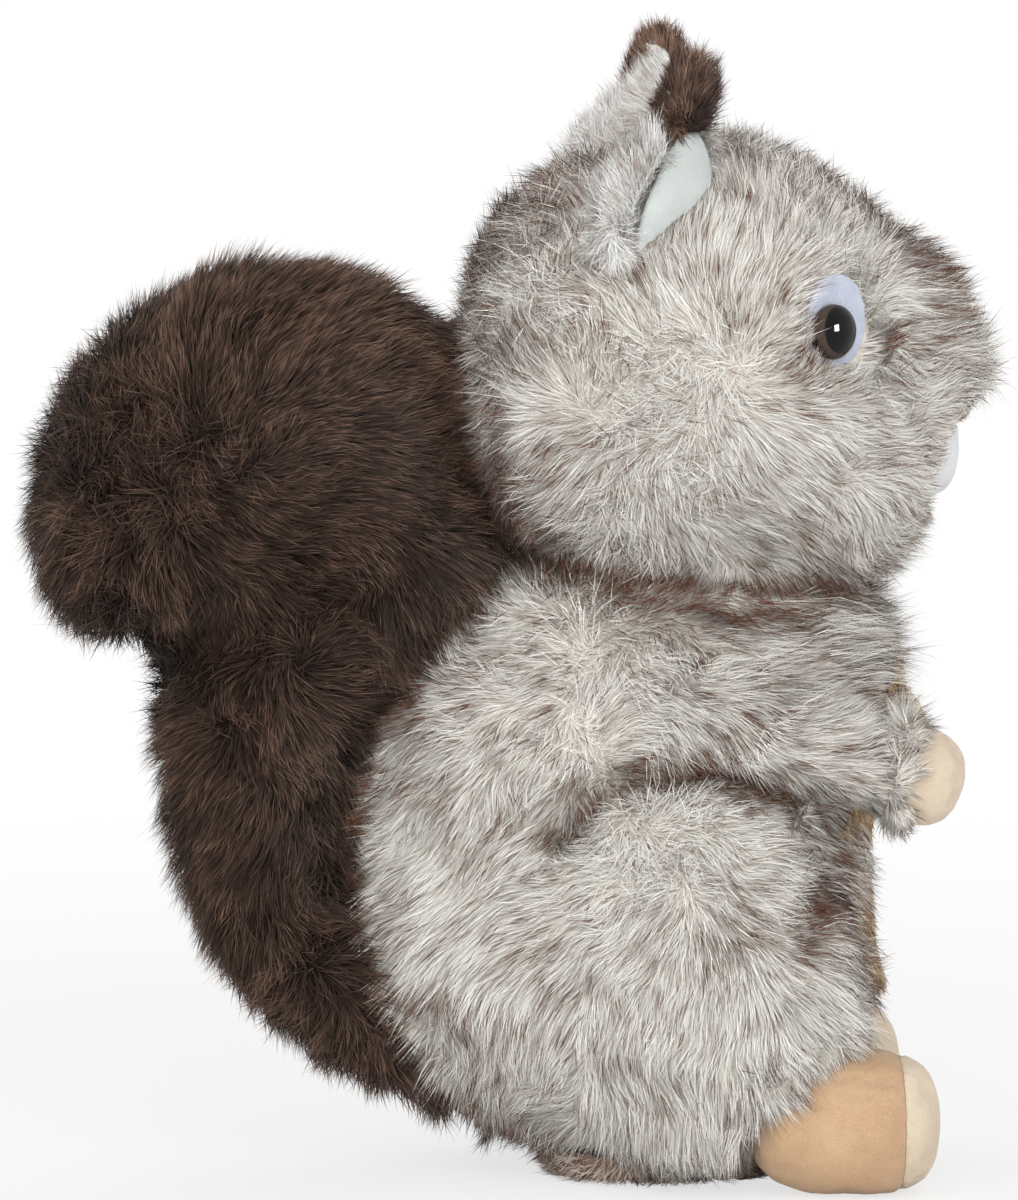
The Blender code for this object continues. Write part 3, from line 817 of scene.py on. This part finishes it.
def body_tips(points, normals):
    # Brown tips in the thigh arch and the knee groove: partly the fur's own tips, partly painted shade in
    # these grooves
    value = 1.9 * near_path(points, THIGH_ARCH_PX, -0.055, 5.5 * MM)
    value += 1.3 * near_path(points, KNEE_PX, -0.053, 5.5 * MM)
    value += 0.50 * np.exp(-(points[:, 1] / BODY_RIDGE) ** 2)
    value += 1.4 * near_path(points, BASE_EDGE_PX, -0.035, 5.0 * MM, thin=0.1)
    # Brown tips along the neck crease: partly the fur's own tips, partly painted shade under the head
    value += 1.6 * near_path(points, NECK_PX, -0.030, 8.0 * MM, thin=0.15)
    value += 0.6 * near_path(points, FRONT_EDGE_PX, -0.030, 6.0 * MM)
    return value


def body_trim(points):
    """Shorter pile in the grooves, on the forearms and near the seat."""
    low = np.clip(0.95 + points[:, 2] / SHORT_BELOW * 0.05, 0.95, 1)
    forearm = near_both(points, FOREARM_LINE, 0.018)
    return (1 - 0.45 * body_grooves(points)) * low * (1 - 0.50 * forearm)


body = remeshed(BODY, SKIN_VOXEL, 3, "body_skin")
eased(body, body_ease, 60)
points, _ = arrays(body.data)
body_free = clearances(points, normals_of(body.data), {*BODY, *FEET})
body_gaps = np.stack([gap_to(points, node) for node in BODY], axis=1)
body_owner = np.argmin(body_gaps, axis=1)
body_depth = pile_depth(SKIN_INSET, body_free) * (1 - NAPE_RISE * nape(points))
moved_in(body, body_depth + GROOVE_DEPTH * body_grooves(points))
TORSO_COMB = radial(TORSO_LINE, (0, 0, -0.30), core=0.028)
THIGH_COMB = radial([THIGH_MIDDLE], (0, 0, -0.10), core=0.022)
ARM_COMB = radial([ARM_MIDDLE], (0.35, 0, -0.30), core=0.03)


def body_comb(points, normals):
    """Each part's own way of lying, running into its neighbour's over a short distance."""
    gaps = np.stack([gap_to(points, node) for node in BODY], axis=1)
    near = np.exp(-(gaps - gaps.min(axis=1)[:, None]) / (3 * MM))
    near /= near.sum(axis=1)[:, None]
    torso = TORSO_COMB(points, normals) * near[:, 0][:, None]
    thighs = THIGH_COMB(points, normals) * (near[:, 1] + near[:, 2])[:, None]
    arms = ARM_COMB(points, normals) * (near[:, 3] + near[:, 4])[:, None]
    return torso + thighs + arms


# Level, swing and seed of each node's brown patches, then its bent and straight strands and their seed
PILES = {
    "torso": ((0.06, 0.12, 6), 28000, 76000, 12),
    "thigh_right": ((-0.02, 0.11, 8), 9000, 27000, 31),
    "thigh_left": ((-0.02, 0.11, 8), 9000, 27000, 32),
    "arm_right": ((0.02, 0.12, 9), 7000, 20000, 33),
    "arm_left": ((0.02, 0.12, 9), 7000, 20000, 34),
}
for index, node in enumerate(BODY):
    mine = (body_owner == index).astype(float)
    brown, bent, straight, seed = PILES[node]
    light_fur(node + "_fur", node, body, body_free, body_comb, patches(*brown, extra=body_tips),
              PILE_LENGTH, PILE_LEAN, bent, straight, seed, keep=mine, trim=body_trim(points))

# The tuft that stands out below the chin, and the pile that hangs over the front of the thighs
roomy = np.maximum(body_free, CHEST_ROOM)
chest = (body_owner == BODY.index("torso")) * near_line(points, *CHEST_LINE, 8.0 * MM)
light_fur("chest_fur", "torso", body, roomy, one_way(1.0, 0.0, -0.25), patches(0.05, 0.1, 14),
          length=17.0 * MM, lean=0.45, bent=1500, straight=4500, seed=35, keep=chest)
front = np.isin(body_owner, (0, 1, 2)) * near_path(points, FRONT_EDGE_PX, -0.030, 9.0 * MM)
light_fur("front_fur", "torso", body, roomy, one_way(1.0, 0.0, -0.35), patches(0.14, 0.15, 15),
          length=10.5 * MM, lean=0.75, bent=2000, straight=6000, seed=36, keep=front)
dress(body, BODY, UNDER_LIGHT)


# Tail

TAIL_CREASE_PX = [(140, 660), (232, 640), (332, 603), (400, 560)]
TAIL_LINE = [(-0.004, 0, 0.014), (-0.034, 0, 0.036), (-0.056, 0, 0.075), (-0.060, 0, 0.11),
             (-0.060, 0, 0.15), (-0.080, 0, 0.168)]


def tail_crease(points):
    return near_path(points, TAIL_CREASE_PX, -0.030, 5.5 * MM, thin=0.15)


def tail_tips(points, normals):
    value = 1.1 * ramp(points[:, 2], 0.185, 0.225) - 0.35 * near_line(points, *TAIL_LINE[-2:], 0.030)
    # Less pale tip colour along the crease under the bulb: painted shade where the bulb overhangs the stem
    return value + 0.6 * ramp(0.07 - points[:, 2], 0.0, 0.05) - 0.6 * tail_crease(points)


def tail_sink(points):
    return (1 - NAPE_RISE * nape(points)) * (1 + 1.1 * tail_crease(points))


def tail_trim(points):
    return 1 - 0.35 * tail_crease(points)


# The tail's tips are paler than its length, so a crease_shade_share below 0 darkens its creases: painted
# shade
furred("tail", radial(TAIL_LINE, run=-0.55), patches(0.32, 0.2, 7, crease_shade_share=-0.5, extra=tail_tips),
       FUR_DARK, UNDER_DARK, length=11.0 * MM, lean=0.58, bent=28000, straight=76000, seed=13,
       slot="fur_dark", width=FINE_WIDTH, inset=4.8 * MM, guard=0.18, sink=tail_sink, trim=tail_trim)


# Ears

EAR_LINE = [(0.037, 0, 0.250), (0.041, 0, 0.262)]
EAR_TAPER_FROM = 0.256
EAR_TAPER_TO = 0.280
EAR_FRONT = 0.044
TUFT_MIDDLE = (0.035, 0, 0.260)
TUFT_EDGE = ((0.040, -0.04, 0.266), (0.040, 0.04, 0.266))


def ear_taper(points):
    """The back edge runs in towards the tip."""
    share = ramp(points[:, 2], EAR_TAPER_FROM, EAR_TAPER_TO)
    points[:, 0] += 0.42 * share * np.maximum(0, EAR_FRONT - points[:, 0])


def ear_keep(side_name):
    """An ear's fur leaves its lining and its tuft free."""
    def keep(points):
        lining = ramp(gap_to(points, "ear_lining_" + side_name), 0.8 * MM, 2.0 * MM)
        return lining * ramp(gap_to(points, "ear_tuft_" + side_name), 2.5 * MM, 5.0 * MM)
    return keep


def tuft_shift(points):
    """The tuft sits a little back, and its lower edge hangs over the ear."""
    low = ramp(-points[:, 2], -0.270, -0.260)
    points[:, 0] -= 0.8 * MM + 3.0 * MM * low
    points[:, 2] -= 3.5 * MM * low


def tuft_tips(points, normals, crease_shade):
    return 0.10 + 0.55 * near_line(points, *TUFT_EDGE, 0.010)


for side_name, side in SIDES:
    ear = "ear_" + side_name
    tuft = "ear_tuft_" + side_name
    lining = "ear_lining_" + side_name
    furred(ear, radial(EAR_LINE, (0, 0, 0.22)), patches(0.06, 0.08, 10, 0.0), FUR_EAR, UNDER_EAR,
           length=9.0 * MM, lean=0.78, bent=7000, straight=9000, seed=20 + side, inset=2.4 * MM,
           voxel=2.0 * MM, width=FINE_WIDTH, fill=0.4, own={tuft, lining}, guard=0.04, reshape=ear_taper,
           keep=ear_keep(side_name))
    furred(tuft, radial([TUFT_MIDDLE], (0, 0, 0.35)), tuft_tips, FUR_TUFT, UNDER_DARK,
           length=8.0 * MM, lean=0.66, bent=5000, straight=8000, seed=23 + side, inset=4.0 * MM,
           voxel=1.5 * MM, width=FINE_WIDTH, fill=0.4, slot="fur_dark", own={ear, lining}, reshape=tuft_shift)


# Belly and seat

BELLY_MIDDLE = (0.07, 0, 0.10)
SEAT_MIDDLE = (0.035, 0, 0.02)
SEAT_BACK_X = 0.016
SEAT_FUR_FROM = -0.004
SEAT_FUR_FULL = 0.010


def seat_shrink(points):
    """The body's pile hangs over its back end."""
    points[:, 0] += 0.50 * np.maximum(0, SEAT_BACK_X - points[:, 0])


def seat_keep(points):
    return ramp(points[:, 0], SEAT_FUR_FROM, SEAT_FUR_FULL)


furred("belly_panel", radial([BELLY_MIDDLE], (0, 0, -0.6)), patches(0.35, 0.25, 21, 0.2),
       FUR_GOLD, UNDER_GOLD, length=5.0 * MM, lean=0.75, bent=4000, straight=9000, seed=27,
       inset=1.6 * MM, voxel=2.0 * MM, smoothing=2, slot="plush_gold", fill=0.3)
furred("seat_panel", radial([SEAT_MIDDLE], thin=1.0), patches(0.3, 0.2, 22, 0.0), FUR_SEAM, UNDER_SEAM,
       length=7.0 * MM, lean=0.85, bent=4000, straight=4000, seed=28, inset=1.2 * MM, voxel=2.0 * MM,
       smoothing=2, slot="fur_dark", fill=0.5, keep=seat_keep, reshape=seat_shrink)


# Smooth pieces

def velour_material(name, low, high, nap_scale=1800, nap_bump=0.35, mottle=60):
    """Short dense pile: a fine nap, with soft lighter and darker patches painted in as the sheen of brushed
    nap.
    """
    m, tree, shader = new_material(name)
    nap = noise(tree, nap_scale, 4, 0.65)
    # Painted sheen: soft patches of lighter and darker colour, as brushed nap catches the light
    patch = noise(tree, mottle, 3, 0.55)
    both = maths(tree, "ADD", maths(tree, "MULTIPLY", nap, 0.5), maths(tree, "MULTIPLY", patch, 0.5))
    share = smooth_step(tree, both, 0.3, 0.7)
    tree.links.new(mixed(tree, share, srgb(*low), srgb(*high)), shader.inputs["Base Color"])
    set_inputs(shader, {"Roughness": 0.85, "Specular IOR Level": 0.15, "Sheen Weight": 0.25})
    bumped(tree, shader, nap, nap_bump, 0.0004)
    return m


def plastic_material(name, colour, rough):
    """Moulded plastic with a faint grain."""
    m, tree, shader = new_material(name)
    grain = noise(tree, 300, 2, 0.5)
    full = srgb(*colour)
    shade = tuple(c * 0.85 for c in full)
    tree.links.new(mixed(tree, grain, shade, full), shader.inputs["Base Color"])
    shader.inputs["Roughness"].default_value = rough
    return m


PUPIL_EDGE = (0.84, 0.92)
RING_EDGE = (1.04, 1.14)


def eye_material():
    """Black pupil in a brown ring, under a clear polished dome."""
    m, tree, shader = new_material("eye_gloss")
    place = added(tree, "Attribute")
    place.attribute_name = "dome"
    radius = length_of(tree, place.outputs["Vector"])
    fibres = noise(tree, 1400, 2, 0.6)
    ring = mixed(tree, fibres, srgb(46, 36, 32), srgb(86, 70, 62))
    inner = mixed(tree, smooth_step(tree, radius, *PUPIL_EDGE), srgb(4, 4, 5), ring)
    colour = mixed(tree, smooth_step(tree, radius, *RING_EDGE), inner, srgb(20, 17, 16))
    tree.links.new(colour, shader.inputs["Base Color"])
    set_inputs(shader, {"Roughness": 0.03, "Specular IOR Level": 0.22})
    return m


VELOUR_WHITE = velour_material("velour_white", (214, 216, 217), (228, 231, 232))
VELOUR_LINING = velour_material("velour_lining", (196, 202, 199), (212, 218, 216), mottle=120)
VELOUR_CREAM = velour_material("velour_cream", (206, 188, 164), (224, 208, 185))
VELOUR_TAN = velour_material("velour_tan", (184, 149, 115), (207, 175, 141))
EYE_FELT = velour_material("eye_white", (182, 188, 204), (200, 207, 224), 1200, 0.25, 200)
NOSE_FELT = velour_material("nose_felt", (80, 58, 50), (104, 78, 66))
EYE_GLOSS = eye_material()
WASHER = plastic_material("washer_plastic", (214, 214, 212), 0.5)

PUFF_PRESSURE = 3.0
PUFF_FRAMES = 12
PUFF_CAP = 1.2 * MM
SOLE_SEAM_X = 0.0935
SEAM_PINCH = 0.6 * MM
SEAM_HALF_GAP = 0.04 * MM
SEAM_INSET = 0.3 * MM
SEAM_HOLD = 1.6 * MM
PUCKER_REACH = 4.5 * MM
PUCKER_DEPTH = 0.16 * MM
CUFF_X = (0.106, 0.100)
LINING_BACK_X = 0.0290
LINING_FOLD = ((0.0410, 0.034, 0.268), (0.0355, 0.040, 0.238))
FOLD_DEPTH = 1.4 * MM


def puffed(piece, held):
    """Cloth filled from inside, held along its seams. A point moves by the cap at most."""
    before, _ = arrays(piece.data)
    hold = piece.vertex_groups.new(name="held")
    for index, weight in enumerate(held(before).tolist()):
        hold.add([index], weight, "REPLACE")
    cloth = piece.modifiers.new("filling", "CLOTH")
    cloth.settings.use_pressure = True
    cloth.settings.uniform_pressure_force = PUFF_PRESSURE
    cloth.settings.effector_weights.gravity = 0
    cloth.settings.vertex_group_mass = "held"
    cloth.settings.shrink_min = -0.03
    cloth.settings.bending_stiffness = 0.2
    cloth.point_cache.frame_start = 1
    cloth.point_cache.frame_end = PUFF_FRAMES
    for step in range(1, PUFF_FRAMES + 1):
        bpy.context.scene.frame_set(step)
    form = piece.evaluated_get(bpy.context.evaluated_depsgraph_get()).to_mesh()
    after, _ = arrays(form)
    move = after - before
    size = np.linalg.norm(move, axis=1)
    if not np.all(np.isfinite(size)):
        move = np.zeros_like(move)
        size = np.zeros(len(move))
    move *= np.minimum(1, PUFF_CAP / np.maximum(size, TINY))[:, None]
    piece.modifiers.clear()
    bpy.context.scene.frame_set(1)
    points = before + move
    points[:, 2] = np.maximum(points[:, 2], FLOOR_GAP)
    set_points(piece.data, points)


def seam_share(points):
    return np.exp(-((points[:, 0] - SOLE_SEAM_X) / SEAM_HOLD) ** 2)


def sole_seam(points):
    """Pulled in along the seam between foot and sole, with small puckers beside it."""
    beside = np.exp(-((points[:, 0] - SOLE_SEAM_X) / PUCKER_REACH) ** 2)
    return SEAM_PINCH * seam_share(points) + PUCKER_DEPTH * beside * waves(points * (0.3, 1, 1), 5 * MM, 61)


def cuff(points):
    """Held where the paw is sewn to the arm."""
    return ramp(points[:, 0], *CUFF_X)


def soft_dents(size, depth, seed):
    return lambda points: depth * waves(points, size, seed)


def fold_line(points):
    """A fold down the ear lining."""
    return FOLD_DEPTH * near_both(points, LINING_FOLD, 1.3 * MM)


def lining_spread(points):
    """Spread open along its front edge, most of all low down."""
    wider = 0.55 - 0.42 * ramp(points[:, 2], 0.240, 0.267)
    points[:, 0] += wider * np.maximum(0, points[:, 0] - LINING_BACK_X)


def split_pieces(nodes, seam_x, voxel, smoothing, relief, held):
    """One smooth form over two nodes, cut in two at the seam between them."""
    whole = remeshed(nodes, voxel, smoothing, nodes[0] + "_form")
    puffed(whole, held)
    points, _ = arrays(whole.data)
    moved_in(whole, SEAM_INSET + relief(points))
    pieces = []
    for node, way in zip(nodes, (1, -1)):
        form = bmesh.new()
        form.from_mesh(whole.data)
        everything = form.verts[:] + form.edges[:] + form.faces[:]
        place = (seam_x - way * SEAM_HALF_GAP, 0, 0)
        bmesh.ops.bisect_plane(form, geom=everything, plane_co=place, plane_no=(way, 0, 0), clear_outer=True)
        rim = [edge for edge in form.edges if len(edge.link_faces) == 1]
        bmesh.ops.holes_fill(form, edges=rim, sides=0)
        bmesh.ops.recalc_face_normals(form, faces=form.faces)
        for face in form.faces:
            face.smooth = len(face.verts) < 8
        mesh = bpy.data.meshes.new(node + "_velour")
        form.to_mesh(mesh)
        form.free()
        pieces.append(show(node + "_velour", mesh))
    bpy.data.objects.remove(whole)
    return pieces


def smooth_piece(node, material, voxel, inset=0.15 * MM, smoothing=8, relief=None, held=None,
                 reshape=None):
    """A sewn piece without long pile, laid just inside its node's surface."""
    piece = remeshed([node], voxel, smoothing, node + "_velour")
    points, _ = arrays(piece.data)
    if reshape:
        reshape(points)
        set_points(piece.data, points)
    if held:
        puffed(piece, held)
    moved_in(piece, inset + (relief(points) if relief else 0))
    dress(piece, [node], material)


DENTS = 0.15 * MM
for side_name, _ in SIDES:
    foot, sole = split_pieces(["foot_" + side_name, "sole_" + side_name], SOLE_SEAM_X, 1.6 * MM, 14,
                              sole_seam, seam_share)
    for piece, node, slot, material in ((foot, "foot_", "velour_tan", VELOUR_TAN),
                                        (sole, "sole_", "velour_cream", VELOUR_CREAM)):
        dress(piece, [node + side_name], material)
    smooth_piece("paw_" + side_name, VELOUR_CREAM, 1.0 * MM,
                 relief=soft_dents(9 * MM, DENTS, 63), held=cuff)
    smooth_piece("ear_lining_" + side_name, VELOUR_LINING, 0.9 * MM, relief=fold_line,
                 reshape=lining_spread)
    smooth_piece("eye_patch_" + side_name, EYE_FELT, 0.7 * MM, inset=0.0, smoothing=4)
smooth_piece("muzzle_panel", VELOUR_WHITE, 1.2 * MM, relief=soft_dents(14 * MM, DENTS, 65))
smooth_piece("nose", NOSE_FELT, 0.5 * MM, inset=0.0, smoothing=4)


# Eyes

EYE_TURN = math.radians(52)
EYE_SEGMENTS = 48
EYE_RINGS = 12
EYE_EDGE = 1.2 * MM
EYE_BEVEL = 0.3 * MM
EYE_WELD = 4e-5
AXIS_GAP = 1e-5
PUPIL_OFF = (0.10, 0.10)


def eye_piece(side_name, side):
    """Domed cap with its shank, turned about the axis of the node that it stands for."""
    points, _ = arrays(NODES["eye_" + side_name].data)
    out = np.array((math.cos(EYE_TURN), side * math.sin(EYE_TURN), 0.0))
    up = np.array((0.0, 0.0, 1.0))
    ahead = np.cross(up, out) * -side
    height = points @ out
    middle_ahead = (np.max(points @ ahead) + np.min(points @ ahead)) / 2
    middle_up = (np.max(points @ up) + np.min(points @ up)) / 2
    middle = ahead * middle_ahead + up * middle_up
    apart = np.linalg.norm(points - middle - out * height[:, None], axis=1)
    rim = float(apart.max())
    flange = float(height[apart > 0.9 * rim].min())
    front = float(height.max())
    back = float(height.min())
    shank = float(apart[height < flange - 1 * MM].max())
    outline = [(AXIS_GAP, back), (shank, back), (shank, flange), (rim * 0.97, flange),
               (rim, flange + EYE_BEVEL)]
    for k in range(EYE_RINGS + 1):
        turn = math.pi / 2 * k / EYE_RINGS
        rise = (front - flange - EYE_EDGE) * math.sin(turn)
        outline.append((rim * math.cos(turn), flange + EYE_EDGE + rise))
    outline[-1] = (AXIS_GAP, front)
    rings = []
    place = []
    for radius, level in outline:
        for k in range(EYE_SEGMENTS):
            turn = 2 * math.pi * k / EYE_SEGMENTS
            sideways = radius * math.cos(turn)
            upward = radius * math.sin(turn)
            rings.append(middle + out * level + ahead * sideways + up * upward)
            place.append((sideways / rim - PUPIL_OFF[0], upward / rim - PUPIL_OFF[1], 0.0))
    faces = []
    for ring in range(len(outline) - 1):
        for k in range(EYE_SEGMENTS):
            a = ring * EYE_SEGMENTS + k
            b = ring * EYE_SEGMENTS + (k + 1) % EYE_SEGMENTS
            faces.append((a, b, b + EYE_SEGMENTS, a + EYE_SEGMENTS))
    mesh = bpy.data.meshes.new("eye_" + side_name + "_dome")
    mesh.from_pydata([tuple(p) for p in rings], [], faces)
    dome = mesh.attributes.new("dome", "FLOAT_VECTOR", "POINT")
    dome.data.foreach_set("vector", np.array(place, dtype=np.float32).ravel())
    form = bmesh.new()
    form.from_mesh(mesh)
    bmesh.ops.remove_doubles(form, verts=form.verts, dist=EYE_WELD)
    bmesh.ops.recalc_face_normals(form, faces=form.faces)
    for face in form.faces:
        face.smooth = True
    form.to_mesh(mesh)
    form.free()
    piece = show("eye_" + side_name + "_dome", mesh)
    dress(piece, ["eye_" + side_name], EYE_GLOSS)


for side_name, side in SIDES:
    eye_piece(side_name, side)
    washer = NODES["eye_washer_" + side_name].data
    washer.materials.clear()
    washer.materials.append(WASHER)


# Studio

WORLD_LIGHT = 0.62
FLOOR_GLOW = 0.70
FLOOR_REACH = 6.0
FLOOR_FADE = (0.25, 0.75)
LIGHT_TARGET = Vector((0, 0, 0.12))
LAMPS = (("key", (0.4, -2.1, 1.0), 1.7, 26), ("fill", (-1.5, -1.4, 0.8), 1.4, 13),
         ("top", (0.0, 0.5, 2.0), 1.2, 8))
CATCH_LIGHT = ("catch", (1.42, -0.92, 0.42), 0.42, 34)


def camera():
    a = CAMERA_AZIMUTH
    e = CAMERA_ELEVATION
    back = Vector((math.sin(a) * math.cos(e), -math.cos(a) * math.cos(e), math.sin(e)))
    data = bpy.data.cameras.new("camera")
    data.sensor_width = SENSOR
    data.lens = SENSOR * CAMERA_DISTANCE / FRAME_HEIGHT_M
    data.clip_start = 0.05
    data.clip_end = 50
    eye = bpy.data.objects.new("camera", data)
    eye.location = CAMERA_TARGET + back * CAMERA_DISTANCE
    eye.rotation_mode = "QUATERNION"
    eye.rotation_quaternion = (-back).to_track_quat("-Z", "Y")
    bpy.context.scene.collection.objects.link(eye)
    bpy.context.scene.camera = eye


def area_light(name, place, size, watts, mirrored=False, lights=True):
    """A soft lamp. mirrored shows it in polished surfaces, and lights lets it fall on the rest."""
    data = bpy.data.lights.new(name, "AREA")
    data.shape = "SQUARE"
    data.size = size
    data.energy = watts
    lamp = bpy.data.objects.new(name, data)
    lamp.visible_glossy = mirrored
    lamp.visible_diffuse = lights
    lamp.location = place
    lamp.rotation_mode = "QUATERNION"
    lamp.rotation_quaternion = (LIGHT_TARGET - Vector(place)).to_track_quat("-Z", "Y")
    bpy.context.scene.collection.objects.link(lamp)


def seen_directly(tree):
    """1 for camera, mirror and glass rays, 0 for light that falls on the object."""
    path = added(tree, "LightPath")
    total = maths(tree, "ADD", path.outputs["Is Camera Ray"], path.outputs["Is Glossy Ray"])
    return maths(tree, "ADD", total, path.outputs["Is Transmission Ray"], clamp=True)


def world():
    w = bpy.data.worlds.new("studio")
    tree, out = emptied(w, "OutputWorld")
    sky = added(tree, "Background")
    sky.inputs["Color"].default_value = (1, 1, 1, 1)
    direct = seen_directly(tree)
    strength = maths(tree, "ADD", WORLD_LIGHT, maths(tree, "MULTIPLY", direct, 1 - WORLD_LIGHT))
    tree.links.new(strength, sky.inputs["Strength"])
    tree.links.new(sky.outputs[0], out.inputs["Surface"])
    bpy.context.scene.world = w


def floor():
    mesh = bpy.data.meshes.new("floor")
    r = FLOOR_REACH
    mesh.from_pydata([(-r, -r, 0), (r, -r, 0), (r, r, 0), (-r, r, 0)], [], [(0, 1, 2, 3)])
    m = bpy.data.materials.new("floor_white")
    tree, out = emptied(m, "OutputMaterial")
    matte = added(tree, "BsdfDiffuse")
    matte.inputs["Color"].default_value = (0.86, 0.86, 0.86, 1)
    glow = added(tree, "Emission")
    glow.inputs["Strength"].default_value = 1.0
    both = added(tree, "MixShader")
    place = added(tree, "TexCoord")
    far = smooth_step(tree, length_of(tree, place.outputs["Object"]), *FLOOR_FADE)
    share = maths(tree, "ADD", FLOOR_GLOW, maths(tree, "MULTIPLY", far, 1 - FLOOR_GLOW))
    tree.links.new(maths(tree, "MULTIPLY", seen_directly(tree), share), both.inputs[0])
    tree.links.new(matte.outputs[0], both.inputs[1])
    tree.links.new(glow.outputs[0], both.inputs[2])
    tree.links.new(both.outputs[0], out.inputs["Surface"])
    mesh.materials.append(m)
    plane = show("floor", mesh)


camera()
world()
floor()
for lamp in LAMPS:
    area_light(*lamp)
area_light(*CATCH_LIGHT, mirrored=True, lights=False)
bpy.context.scene.view_settings.view_transform = "Standard"
